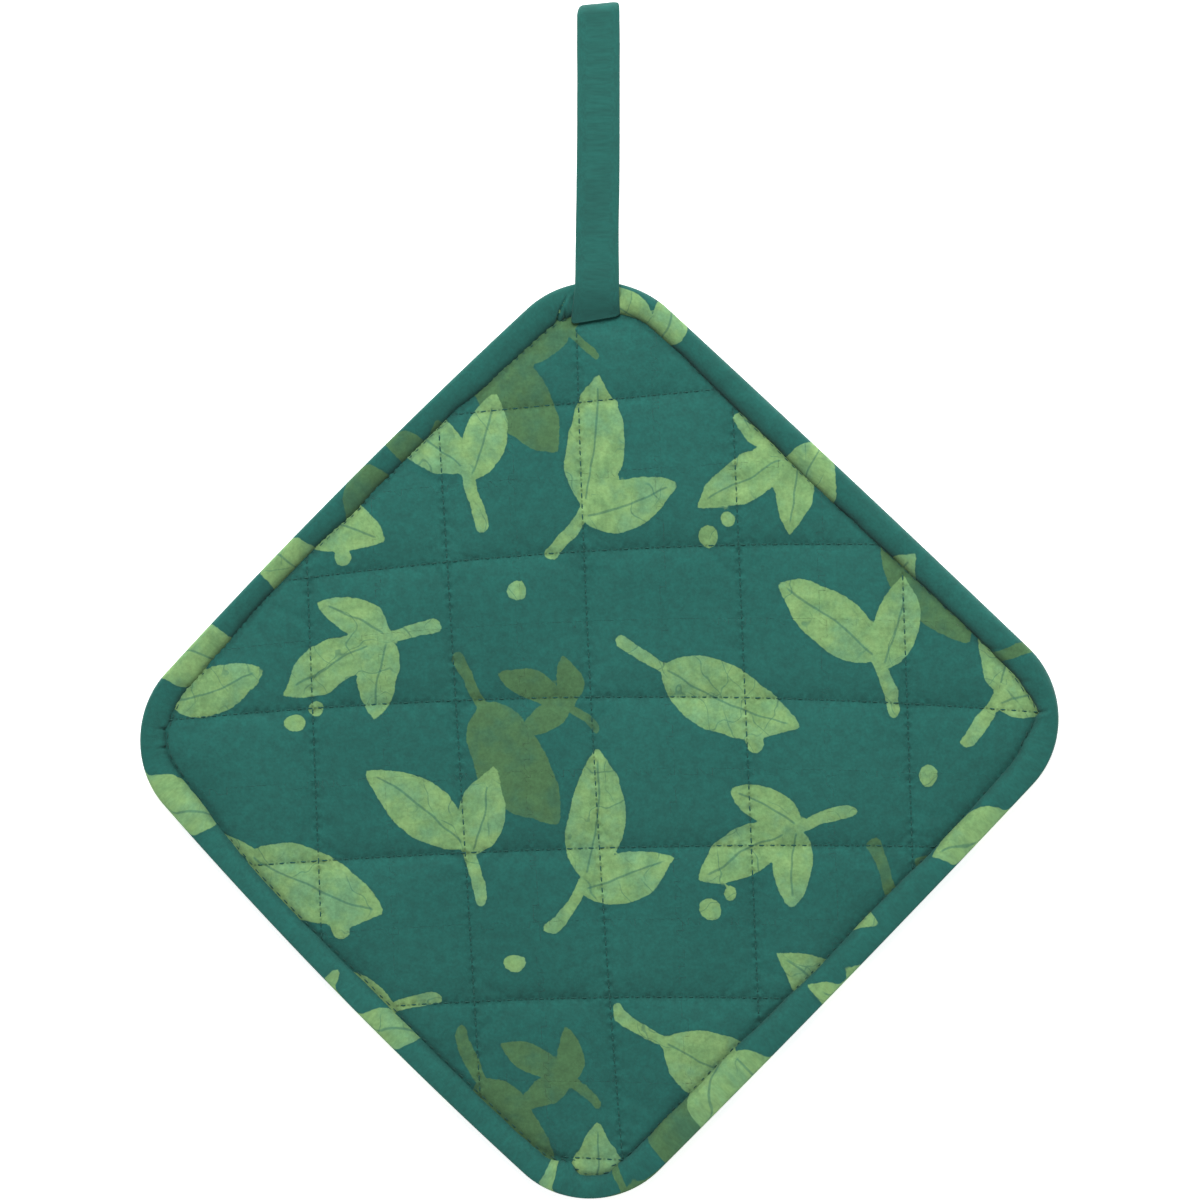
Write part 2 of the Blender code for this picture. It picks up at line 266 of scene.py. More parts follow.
@dataclass(frozen=True)
class PadOutline:
    """The outer edge of the bound pad: four bowed sides with rounded corners."""

    corners: tuple[CornerPoint, ...] = records(
        CornerPoint,
        (-0.4, 106.9, 28.5), (149.9, -34.3, 28.9), (-1.7, -190.8, 27.9), (-147.8, -41.5, 25.9),
    )
    sides: tuple[Side, ...] = records(
        Side,
        (0.7, 3.5, 0.48, 0.75, 1.15), (1.15, 4.2, 0.13, 0.36, 0.7), (3.9, 4.5, 0.13, 0.36, 0.92),
        (2.9, 3.5, 0.26, 0.48, 1.3),
    )
    lip: tuple[LipPoint, ...] = records(
        LipPoint,
        (-179.0, 8.0), (-177.0, 8.4), (-173.5, 9.8), (-170.0, 9.8), (-165.0, 8.4), (-156.0, 7.4),
        (-146.0, 7.6), (-134.0, 8.5), (-105.0, 8.2), (-98.5, 8.2), (-95.6, 9.8), (-94.0, 11.6),
        (-92.6, 7.4), (-87.6, 6.9), (-86.2, 9.3), (-78.0, 9.8), (-64.0, 9.8), (-56.0, 9.1),
        (-46.0, 8.8), (-35.0, 9.1), (-21.0, 8.3), (-7.0, 9.0), (-2.0, 9.6), (2.8, 6.3), (6.5, 8.8),
        (10.0, 9.2), (16.0, 8.6), (33.0, 8.7), (49.0, 9.2), (60.0, 8.6), (76.0, 7.6), (82.0, 8.2),
        (87.0, 9.5), (94.0, 9.2), (109.0, 8.8), (114.0, 7.6), (138.0, 8.1), (145.0, 7.3), (159.0, 7.0),
        (167.0, 8.1), (176.0, 8.8),
    )
    middle: tuple[float, float] = (-1.1, -39.9)
    blend: float = 8.0
    squash_middle: float = -1.0
    lip_softness: float = 0.55
    squash_reach: float = 11.5
    squash_fade: float = 5.0
    squash_start: float = 78.0
    corner_fade: float = 26.0
    slope_step: float = 0.05
    ray_count: int = 4000
    ray_reach: tuple[float, float] = (60.0, 200.0)
    halvings: int = 40
    fine_steps: int = 20000
    crowd_reach: float = 5.0

    def side_distances(self, points: Array) -> Array:
        """Distance inwards from each side: that from its chord, plus the bow's parabola.

        Args:
            points: Points on the face, one row each.

        Returns:
            One row of distances for each side.
        """
        rows = []
        for index, side in enumerate(self.sides):
            start, end = self.corners[index], self.corners[(index + 1) % 4]
            first, last = np.array((start.x, start.y)), np.array((end.x, end.y))
            length = np.linalg.norm(last - first)
            along = (last - first) / length
            inward = np.array((along[1], -along[0]))
            place = (points - (first + last) / 2.0) @ along / (length / 2.0)
            rows.append((points - first) @ inward + side.bow * (1.0 - place**2))
        return np.array(rows)

    def inset(self, points: Array) -> Array:
        """Distance inwards from the outline: the least of the sides', rounded within a corner's radius."""
        rows = self.side_distances(points)
        result = rows.min(axis=0)
        for index, corner in enumerate(self.corners):
            before, after = rows[index - 1], rows[index]
            short = np.hypot(
                np.maximum(corner.radius - before, 0.0), np.maximum(corner.radius - after, 0.0)
            )
            near = (before < corner.radius) & (after < corner.radius)
            result = np.where(near, corner.radius - short, result)
        return result

    def blended(self, points: Array, values: Sequence[float]) -> Array:
        """A value that each side has, blended where two sides are about as near."""
        rows = self.side_distances(points)
        weights = np.exp(-(rows - rows.min(axis=0)) / self.blend)
        return (weights * np.array(values)[:, None]).sum(axis=0) / weights.sum(axis=0)

    def tape_width(self, points: Array) -> Array:
        """Visible width of the tape near each point: between lip points, rounded by averaging."""
        heading = np.degrees(np.arctan2(points[:, 1] - self.middle[1], points[:, 0] - self.middle[0]))
        directions = [point.direction for point in self.lip]
        widths = [point.width for point in self.lip]
        turns = np.linspace(-self.lip_softness, self.lip_softness, 7)
        found = [np.interp(heading + turn, directions, widths, period=360.0) for turn in turns]
        return np.mean(found, axis=0)

    def past_tape(self, points: Array) -> Array:
        """Distance inwards from the tape's lip; less than zero under the tape."""
        return self.inset(points) - self.tape_width(points)

    def cornerness(self, points: Array) -> Array:
        """1 in the middle of a rounded corner, falling to 0 where its arc ends."""
        rows = np.sort(self.side_distances(points), axis=0)
        return ease(1.0 - (rows[1] - rows[0]) / self.corner_fade)

    def squash(self, points: Array) -> Array:
        """How far the strap's sewing presses the edge flat, 0 to 1."""
        across = np.abs(points[:, 0] - self.squash_middle)
        side = ease((self.squash_reach - across) / self.squash_fade)
        return side * ease((points[:, 1] - self.squash_start) / self.squash_fade)

    def inward(self, points: Array) -> Array:
        """Unit direction inwards, from the slope of the inset."""
        steps = self.slope_step * np.eye(2)
        slope = np.column_stack([self.inset(points + step) - self.inset(points - step) for step in steps])
        return unit(slope)

    def stations(
        self, count: int, start_angle: float, crowded: Sequence[float] = (), crowding: float = 3.0
    ) -> tuple[Array, Array, Array, Array]:
        """Points round the outline, clockwise, evenly spaced or closer near chosen directions.

        Rays from the middle are shortened by halving until they end on the outline, and the curve
        through their ends is divided by its length, weighted by a bell round each chosen point.

        Args:
            count: Number of points.
            start_angle: Direction of the first point from the middle, in degrees.
            crowded: Directions near which points are closer, in degrees.
            crowding: How much closer they are there.

        Returns:
            The points, their inward directions, the length to each with the whole length last, and
            the length to each chosen direction.
        """
        angles = math.radians(start_angle) - np.linspace(0.0, 2.0 * math.pi, self.ray_count, endpoint=False)
        rays = np.column_stack((np.cos(angles), np.sin(angles)))
        middle = np.array(self.middle)
        low, high = (np.full(len(rays), reach) for reach in self.ray_reach)
        for _ in range(self.halvings):
            trial = (low + high) / 2.0
            inside = self.inset(middle + rays * trial[:, None]) > 0.0
            low, high = np.where(inside, trial, low), np.where(inside, high, trial)
        closed = middle + rays * low[:, None]
        closed = np.vstack((closed, closed[:1]))
        travel = travel_along(closed)
        fine = np.linspace(0.0, travel[-1], self.fine_steps + 1)
        turns = (start_angle - np.array(crowded)) % 360.0 / 360.0 * (len(travel) - 1)
        chosen = np.interp(turns, np.arange(len(travel)), travel)
        away = np.abs(fine[:, None] - chosen[None, :])
        away = np.minimum(away, travel[-1] - away)
        density = np.cumsum(1.0 + crowding * np.exp(-((away / self.crowd_reach) ** 2)).sum(axis=1))
        wanted = np.interp(np.linspace(density[0], density[-1], count + 1), density, fine)
        points = np.column_stack([np.interp(wanted[:-1], travel, closed[:, axis]) for axis in (0, 1)])
        return points, self.inward(points), wanted, chosen


@dataclass(frozen=True)
class QuiltLine:
    """A sewn line: its place in the middle, its lean and its bend."""

    at: float
    lean: float
    bend: float = 0.0

    def place(self, along: Array) -> Array:
        """Place of the line at distances along it: a parabola."""
        return self.at + self.lean * along + self.bend * along**2


@dataclass(frozen=True)
class QuiltPattern:
    """The two families of sewn lines that divide the pad into cells."""

    upright: tuple[QuiltLine, ...] = records(
        QuiltLine,
        (-85.7, -0.039), (-42.4, -0.062), (-1.9, -0.0547, 0.00012), (44.3, -0.0425), (92.8, -0.035),
    )
    level: tuple[QuiltLine, ...] = records(
        QuiltLine,
        (-127.8, -0.05), (-79.4, 0.017, -0.0004), (-34.5, 0.027, -0.00023), (10.8, 0.010, -0.00034),
        (54.8, 0.057, -0.00042), (99.8, 0.096),
    )
    level_base: float = -39.9
    upright_margins: tuple[float, float] = (62.0, 52.0)
    level_margins: tuple[float, float] = (22.0, 46.0)
    cell_steps: int = 38
    step_length: float = 1.25
    crowding: float = 0.45
    stitch_pitch: float = 3.2
    line_phase: float = 0.37
    turns: int = 12

    def nearest(self, points: Array, upright: bool) -> tuple[Array, Whole, Array]:
        """The nearest line of one family to each point.

        Args:
            points: Points on the face.
            upright: Whether the family is the upright one.

        Returns:
            The signed distance from the line, its number, and the distance along it.
        """
        height = points[:, 1] - self.level_base
        lines, along, across = (
            (self.upright, height, points[:, 0]) if upright else (self.level, points[:, 0], height)
        )
        away = np.array([across - line.place(along) for line in lines])
        number = np.abs(away).argmin(axis=0)
        return away[number, np.arange(len(points))], number, along

    def shares(self, count: int) -> Array:
        """Shares of a cell, closer at its two ends: an even run less a sine wave."""
        even = np.arange(count) / count
        return even - self.crowding * np.sin(2.0 * math.pi * even) / (2.0 * math.pi)

    def grid_lines(self, lines: Sequence[QuiltLine], margins: tuple[float, float]) -> Array:
        """Bend, lean and place of each grid line, between and past the sewn lines.

        Args:
            lines: The sewn lines of the family.
            margins: How far the grid goes on before the first and after the last line.

        Returns:
            One row of three coefficients for each grid line, which is a parabola as well.
        """
        table = np.array([(line.bend, line.lean, line.at) for line in lines])
        before, after = table[0] - (0.0, 0.0, margins[0]), table[-1] + (0.0, 0.0, margins[1])
        table = np.vstack((before, table, after))
        counts = [self.cell_steps] * (len(table) - 1)
        counts[0] = round(margins[0] / self.step_length)
        counts[-1] = round(margins[1] / self.step_length)
        runs = []
        for first, last, count in zip(table, table[1:], counts):
            share = self.shares(count)[:, None]
            runs.append((1.0 - share) * first + share * last)
        return np.vstack((*runs, table[-1:]))

    def grid(self) -> Array:
        """Points where the grid lines of the two families cross, found by turns from each other.

        Returns:
            Columns by rows by two coordinates.
        """
        upright = self.grid_lines(self.upright, self.upright_margins)
        level = self.grid_lines(self.level, self.level_margins)
        height = np.zeros((len(upright), len(level)))
        across = height
        for _ in range(self.turns):
            across = upright[:, 2:] + upright[:, 1:2] * height + upright[:, :1] * height**2
            height = level[None, :, 2] + level[None, :, 1] * across + level[None, :, 0] * across**2
        return np.stack((across, height + self.level_base), axis=-1)


@dataclass(frozen=True)
class Leaf:
    """A leaf on a sprig: where its base is on the stem, its turn, length and width."""

    base: float
    turn: float
    length: float
    width: float


@dataclass(frozen=True)
class Sprig:
    """A printed sprig within the repeat: place, turn, size, form and whether it is the paler ink."""

    x: float
    y: float
    turn: float
    size: float
    form: SprigForm
    pale: bool = True


@dataclass(frozen=True)
class LeafPrint:
    """An ordinary repeat of leaf sprigs and small dots on a plain ground."""

    repeat: tuple[float, float] = (124.0, 112.0)
    drop: float = 56.0
    sprigs: tuple[Sprig, ...] = records(
        Sprig,
        (16.0, 22.0, 62.0, 1.22, SprigForm.PAIR),
        (76.0, 36.0, 205.0, 1.2, SprigForm.FAN),
        (40.0, 84.0, -24.0, 1.12, SprigForm.SINGLE),
        (102.0, 88.0, 118.0, 1.15, SprigForm.PAIR),
        (108.0, 16.0, -58.0, 1.1, SprigForm.SINGLE, False),
        (8.0, 74.0, 150.0, 0.8, SprigForm.FAN, False),
    )
    dots: tuple[tuple[float, float, float], ...] = (
        (52.0, 12.0, 3.2), (58.0, 17.0, 2.2), (66.0, 62.0, 2.8),
        (22.0, 52.0, 2.4), (118.0, 52.0, 3.0), (84.0, 104.0, 2.6),
    )
    stem_length: float = 15.0
    stem_radius: float = 1.35
    stem_bend: float = 0.012
    stem_taper: float = 0.025
    stem_past_base: float = 3.0
    rib_bend: float = 0.03
    tip_power: float = 0.84
    wobble: float = 0.9
    wobble_cell: float = 8.0
    ripple_share: float = 0.3
    ripple_cell: float = 3.1
    nowhere: float = 30.0

    def leaves(self, form: SprigForm) -> tuple[Leaf, ...]:
        """The leaves of a form of sprig."""
        forms = {
            SprigForm.SINGLE: ((-2.0, 0.0, 40.0, 19.0),),
            SprigForm.PAIR: ((-1.0, 24.0, 33.0, 14.5), (-4.0, -42.0, 25.0, 12.0)),
            SprigForm.FAN: ((0.0, 4.0, 27.0, 11.5), (-3.0, 58.0, 21.0, 10.0), (-3.5, -52.0, 20.0, 9.5)),
        }
        return records(Leaf, *forms[form])

    def near_copy(self, points: Array, x: float, y: float) -> tuple[Array, Array]:
        """Offset of points from the nearest copy of a place; each next column of repeats drops."""
        wide, high = self.repeat
        column = np.round((points[:, 0] - x) / wide)
        across = points[:, 0] - x - column * wide
        up = points[:, 1] - y - column * self.drop
        return across, up - np.round(up / high) * high

    def leaf_distance(self, along: Array, side: Array, leaf: Leaf) -> tuple[Array, Array]:
        """Distance from a leaf's edge, less than zero inside, and from its middle rib.

        The leaf is the overlap of two equal circles, with its length eased so that it is widest
        nearer its base.

        Args:
            along: Distance along the sprig's stem.
            side: Distance to the side of it.
            leaf: The leaf.

        Returns:
            Distance from the edge, and signed distance from the rib.
        """
        turn = math.radians(leaf.turn)
        u = (along - leaf.base) * math.cos(turn) + side * math.sin(turn)
        v = side * math.cos(turn) - (along - leaf.base) * math.sin(turn)
        v = v + self.rib_bend * leaf.length * np.sin(math.pi * u / leaf.length)
        share = hold(u / leaf.length)
        eased = np.where((u > 0.0) & (u < leaf.length), leaf.length * share**self.tip_power, u)
        half, wide = leaf.length / 2.0, leaf.width / 2.0
        radius = (half**2 + wide**2) / (2.0 * wide)
        return np.hypot(eased - half, np.abs(v) + radius - wide) - radius, v

    def fields(self, cloth: Array, seed: int) -> dict[str, Array]:
        """Signed distances of the print at places on the cloth.

        Args:
            cloth: Cloth coordinates, in millimetres.
            seed: Seed of the hand-cut wobble of the edges.

        Returns:
            Distance from the pale and the deep ink's edges and from the nearest rib, by name.
        """
        x, y = cloth[:, 0], cloth[:, 1]
        wander = np.column_stack([smooth_noise(x, y, self.wobble_cell, seed + k) for k in (0, 1)])
        ripple = np.column_stack([smooth_noise(x, y, self.ripple_cell, seed + k) for k in (2, 3)])
        points = cloth + self.wobble * wander + self.ripple_share * self.wobble * ripple
        far = np.full(len(cloth), self.nowhere)
        result = {"print_pale": far.copy(), "print_deep": far.copy(), "print_rib": far.copy()}
        closest = far.copy()
        for sprig in self.sprigs:
            across, up = self.near_copy(points, sprig.x, sprig.y)
            turn = math.radians(sprig.turn)
            along = (across * math.cos(turn) + up * math.sin(turn)) / sprig.size
            side = (up * math.cos(turn) - across * math.sin(turn)) / sprig.size
            key = "print_pale" if sprig.pale else "print_deep"
            held = np.clip(along, -self.stem_length, self.stem_past_base)
            curve = self.stem_bend * (along + 2.0) ** 2 * (along < 0.0)
            thick = self.stem_radius * (1.0 - self.stem_taper * held)
            stem = np.hypot(along - held, side - curve) - thick
            result[key] = np.minimum(result[key], stem * sprig.size)
            for leaf in self.leaves(sprig.form):
                edge, rib = self.leaf_distance(along, side, leaf)
                result[key] = np.minimum(result[key], edge * sprig.size)
                nearer = edge < closest
                closest = np.where(nearer, edge, closest)
                result["print_rib"] = np.where(nearer, rib * sprig.size, result["print_rib"])
        for x_dot, y_dot, radius in self.dots:
            across, up = self.near_copy(points, x_dot, y_dot)
            result["print_pale"] = np.minimum(result["print_pale"], np.hypot(across, up) - radius)
        return result


@dataclass(frozen=True)
class ClothSettling:
    """How filled cloth swells and puckers between its seams once it is let go.

    The shape is settled at a larger scale, where the solver is steadier. The cap is in millimetres,
    and kept is the share of the capped movement that stays.
    """

    frames: int = 12
    quality: int = 4
    mass: float = 0.05
    air_damping: float = 2.0
    shear_share: float = 0.4
    scale: float = 10.0
    pressure: float = 2.3
    ease_in: float = 0.016
    bending: float = 0.25
    stiffness: float = 15.0
    cap: float = 1.6
    kept: float = 0.72

    def settle(self, points: Array, faces: Sequence[Whole], held: Array) -> Array:
        """Runs Blender's cloth on the sewn shape, a little more cloth than there is room for.

        Gravity is off, the filling is a pressure, and held points stay where they are. How far a
        point may move is capped: beyond the cap it is pulled back along its own way. A share of that
        movement is kept, as the sewn shape has most of the swelling already.

        Args:
            points: The sewn shape, in millimetres.
            faces: Its faces.
            held: Whether each point is held.

        Returns:
            The settled points, in millimetres.
        """
        piece = make_piece("settling_cloth", points * self.scale, faces)
        group = piece.vertex_groups.new(name="sewn")
        group.add([int(index) for index in np.nonzero(held)[0]], 1.0, "REPLACE")
        cloth = piece.modifiers.new("cloth", "CLOTH")
        settings = cloth.settings
        settings.quality = self.quality
        settings.mass = self.mass
        settings.tension_stiffness = settings.compression_stiffness = self.stiffness
        settings.shear_stiffness = self.shear_share * self.stiffness
        settings.bending_stiffness = self.bending
        settings.air_damping = self.air_damping
        settings.effector_weights.gravity = 0.0
        settings.use_pressure = True
        settings.uniform_pressure_force = self.pressure
        settings.shrink_min = settings.shrink_max = -self.ease_in
        settings.vertex_group_mass = group.name
        cloth.collision_settings.use_collision = False
        cloth.point_cache.frame_end = self.frames
        scene = bpy.context.scene
        for frame_number in range(1, self.frames + 1):
            scene.frame_set(frame_number)
        posed = piece.evaluated_get(bpy.context.evaluated_depsgraph_get())
        flat = np.empty(3 * len(points), np.float32)
        posed.data.vertices.foreach_get("co", flat)
        moved = flat.reshape(-1, 3).astype(float) / (MM * self.scale) - points
        length = np.maximum(np.linalg.norm(moved, axis=1), TINY)
        capped = moved * (self.cap * np.tanh(length / self.cap) / length)[:, None]
        mesh = piece.data
        bpy.data.objects.remove(piece)
        bpy.data.meshes.remove(mesh)
        scene.frame_set(1)
        LOG.info("cloth settled: mean move %.2f mm, most %.2f mm", length.mean(), length.max())
        return points + self.kept * capped


@dataclass(frozen=True)
class PadCloths:
    """Front cloth, filling and back cloth, quilted through into one filled solid.

    Heights and reaches are in millimetres. A rise says how far from a seam the cloth climbs, and a
    share how much of the climb is the steep part.
    """

    outline: PadOutline
    pattern: QuiltPattern
    leaf_print: LeafPrint
    settling: ClothSettling = ClothSettling()
    crown: float = 6.0
    channel_front: float = 5.15
    channel_back: float = 1.45
    back_flat_from: float = 0.7
    channel_round: float = 0.6
    steep_rise: float = 1.2
    steep_share: float = 0.42
    soft_rise: float = 10.0
    edge_share: float = 0.75
    edge_rise: float = 1.1
    tuck: float = 2.2
    edge_front: float = 3.6
    edge_back: float = 2.7
    pressed: float = 3.4
    held_beside: float = 0.2
    held_from_squash: float = 0.4
    pucker: float = 0.25
    pucker_reach: float = 2.2
    pucker_slant: float = 0.35
    pucker_cells: tuple[float, float] = (4.6, 2.3)
    pucker_stretches: tuple[float, float] = (0.12, 0.2)
    pucker_shares: tuple[float, float] = (0.75, 0.35)
    line_shift: float = 40.0
    family_shift: float = 300.0
    bare_below: float = 0.35
    dent: float = 0.2
    dent_cells: tuple[float, float] = (24.0, 9.0)
    dent_shares: tuple[float, float] = (0.45, 0.35)
    flattened: float = 0.9
    back_touch: float = 0.998
    back_round: float = 0.01
    fullness_seed: int = 7
    front_cut: tuple[float, float] = (19.0, -7.0)
    back_cut: tuple[float, float] = (-31.0, 47.0)
    back_turn: float = 8.0
    # Painted shade along the level seams: its distance on a seam, and how fast it grows away from it.
    seam_shade_start: float = 1.1
    seam_shade_widening: float = 0.4

    def rise(self, distance: Array, share: float, reach: float) -> Array:
        """How far the filling has risen from a seam: one less a steep and a soft decay."""
        steep = share * np.exp(-distance / reach)
        return 1.0 - steep - (1.0 - share) * np.exp(-distance / self.soft_rise)

    def puckers(self, points: Array, face: Face) -> Array:
        """Small creases that start at a seam and run away from it.

        Each is noise along the seam, slanted a little with distance, times a bump that is nothing
        on the seam and largest about two millimetres away.

        Args:
            points: Points on the face.
            face: Which face they are on.

        Returns:
            Height to add, in millimetres.
        """
        total = np.zeros(len(points))
        for upright in (True, False):
            away, number, along = self.pattern.nearest(points, upright)
            reach = np.abs(away)
            bump = reach / self.pucker_reach * np.exp(1.0 - reach / self.pucker_reach)
            slant = along + self.pucker_slant * away
            slant = slant + self.line_shift * number + self.family_shift * upright
            kinds = zip(self.pucker_cells, self.pucker_stretches, self.pucker_shares, (21, 31))
            for cell, stretch, share, seed in kinds:
                total += bump * share * smooth_noise(slant, away * stretch, cell, seed + face.value)
        return self.pucker * total

    def relief(self, points: Array, face: Face) -> Array:
        """Share of the full height between the channels, with each cell's own fullness.

        Args:
            points: Points on the face.
            face: Which face they are on.

        Returns:
            0 at a seam and about 1 on a crown.
        """
        inside = np.maximum(self.outline.past_tape(points) + self.held_beside, 0.0)
        cushion = self.rise(inside, self.edge_share, self.edge_rise)
        for upright in (True, False):
            away = self.pattern.nearest(points, upright)[0]
            rounded = np.sqrt(away**2 + self.channel_round**2) - self.channel_round
            cushion = cushion * self.rise(rounded, self.steep_share, self.steep_rise)
        x, y, seed = points[:, 0], points[:, 1], self.fullness_seed + face.value
        uneven = np.ones(len(points))
        for cell, share, step in zip(self.dent_cells, self.dent_shares, (0, 5)):
            uneven += self.dent * share * smooth_noise(x, y, cell, seed + step)
        return cushion * uneven * (1.0 - self.flattened * self.outline.squash(points))

    def heights(self, points: Array, face: Face) -> Array:
        """Height of a face: its channel plus its relief, sloping to a thin edge inside the tape.

        Args:
            points: Points on the face.
            face: Which face they are on.

        Returns:
            Height above the surface that the pot holder lies on, in millimetres.
        """
        width = self.outline.tape_width(points)
        inset = self.outline.inset(points)
        tucked = ease((inset - self.tuck) / (width - self.tuck))
        share = self.relief(points, face)
        crease = self.puckers(points, face) * hold(share / self.bare_below)
        if face is Face.FRONT:
            ditch = self.outline.blended(points, [side.ditch for side in self.outline.sides])
            near = np.exp(-np.maximum(inset - width, 0.0) / self.edge_rise)
            channel = self.channel_front + (ditch - self.channel_front) * near
            channel -= np.maximum(channel - self.pressed, 0.0) * self.outline.squash(points)
            face_height = channel + (self.crown - channel) * share + crease
            return self.edge_front + (face_height - self.edge_front) * tucked
        left = 1.0 - share / self.back_flat_from
        gap = self.channel_back * self.back_touch * (np.sqrt(left**2 + self.back_round) + left) / 2.0
        face_height = np.maximum(gap + crease * hold(left * 2.0), 0.0)
        return self.edge_back + (face_height - self.edge_back) * tucked

    def build(self) -> bpy.types.Object:
        """Both faces on one grid laid along the quilting, trimmed inside the tape and closed round.

        The quads whose middles are deeper than the tuck are kept, the points on the rim are slid
        straight onto the tuck's own line, and a wall of quads joins the two rims.

        Returns:
            The finished piece.
        """
        grid = self.pattern.grid()
        columns, rows = grid.shape[:2]
        flat = grid.reshape(-1, 2)
        quads = grid_faces(columns, rows, False, False)[:, ::-1]
        quads = quads[self.outline.inset(flat[quads].mean(axis=1)) > self.tuck]
        used, quads = np.unique(quads, return_inverse=True)
        quads = quads.reshape(-1, 4)
        points = flat[used]
        first, second = quads.ravel(), np.roll(quads, -1, axis=1).ravel()
        count = len(points)
        rim = ~np.isin(first * count + second, second * count + first)
        first, second = first[rim], second[rim]
        edge = np.unique(first)
        for _ in range(3):
            step = self.tuck - self.outline.inset(points[edge])
            points[edge] += self.outline.inward(points[edge]) * step[:, None]
        front = np.column_stack((points, self.heights(points, Face.FRONT)))
        back = np.column_stack((points, self.heights(points, Face.BACK)))
        wall = np.column_stack((second, first, first + count, second + count))
        faces = (quads, quads[:, ::-1] + count, wall)
        solid = self.settling.settle(np.vstack((front, back)), faces, np.tile(self.sewn(points), 2))
        solid[:, 2] = np.maximum(solid[:, 2], 0.0)
        return make_piece(PAD_NAME, solid, faces, fields=self.cloth_fields(points))

    def sewn(self, points: Array) -> Array:
        """Whether each point is held: on a seam, under the tape or under the strap's foot."""
        seam = np.zeros(len(points), bool)
        for upright in (True, False):
            seam |= np.abs(self.pattern.nearest(points, upright)[0]) < self.held_beside
        under_tape = self.outline.past_tape(points) < self.held_beside
        return seam | under_tape | (self.outline.squash(points) > self.held_from_squash)

    def cloth_fields(self, points: Array) -> dict[str, Array]:
        """Print, stitch and painted shade fields of both faces, which are two different cuts of cloth."""
        turn = math.radians(self.back_turn)
        spin = np.array(((math.cos(turn), -math.sin(turn)), (math.sin(turn), math.cos(turn))))
        front = self.leaf_print.fields(points + self.front_cut, 101)
        back = self.leaf_print.fields(points * (-1.0, 1.0) @ spin + self.back_cut, 131)
        fields = {name: np.concatenate((front[name], back[name])) for name in front}
        for name, upright in (("upright", True), ("level", False)):
            away, number, along = self.pattern.nearest(points, upright)
            phase = along / self.pattern.stitch_pitch + self.pattern.line_phase * number
            fields["seam_" + name] = np.tile(away, 2)
            fields["stitch_" + name] = np.tile(phase, 2)
        # Painted shade: the front's colour is darkened near the tape's lip and along the level seams; the
        # back gets none.
        from_level = self.seam_shade_widening * np.abs(fields["seam_level"][: len(points)])
        nearest = np.minimum(np.abs(self.outline.past_tape(points)), self.seam_shade_start + from_level)
        fields["painted_shade_distance"] = np.append(nearest, np.full(len(points), FAR_FROM_PAINTED_SHADE))
        return fields

    def dress(self, piece: bpy.types.Object, material: bpy.types.Material) -> None:
        """Gives the pad its cloth and its body, and hides the model's own pad."""
        piece.data.materials.append(material)
        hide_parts("quilted_pad")
        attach(piece, BODY)


@dataclass(frozen=True)
class TapeCrease:
    """A fold across the tape: a valley with a ridge beside it, deepest at the lip.

    The direction from the pad's middle is in degrees. The lean is how far the fold moves along the
    tape for each millimetre inwards. The reach is the share of the width that it crosses.
    """

    direction: float
    lean: float
    depth: float
    half_width: float
    reach: float = 0.7
    ridge: float = 0.4


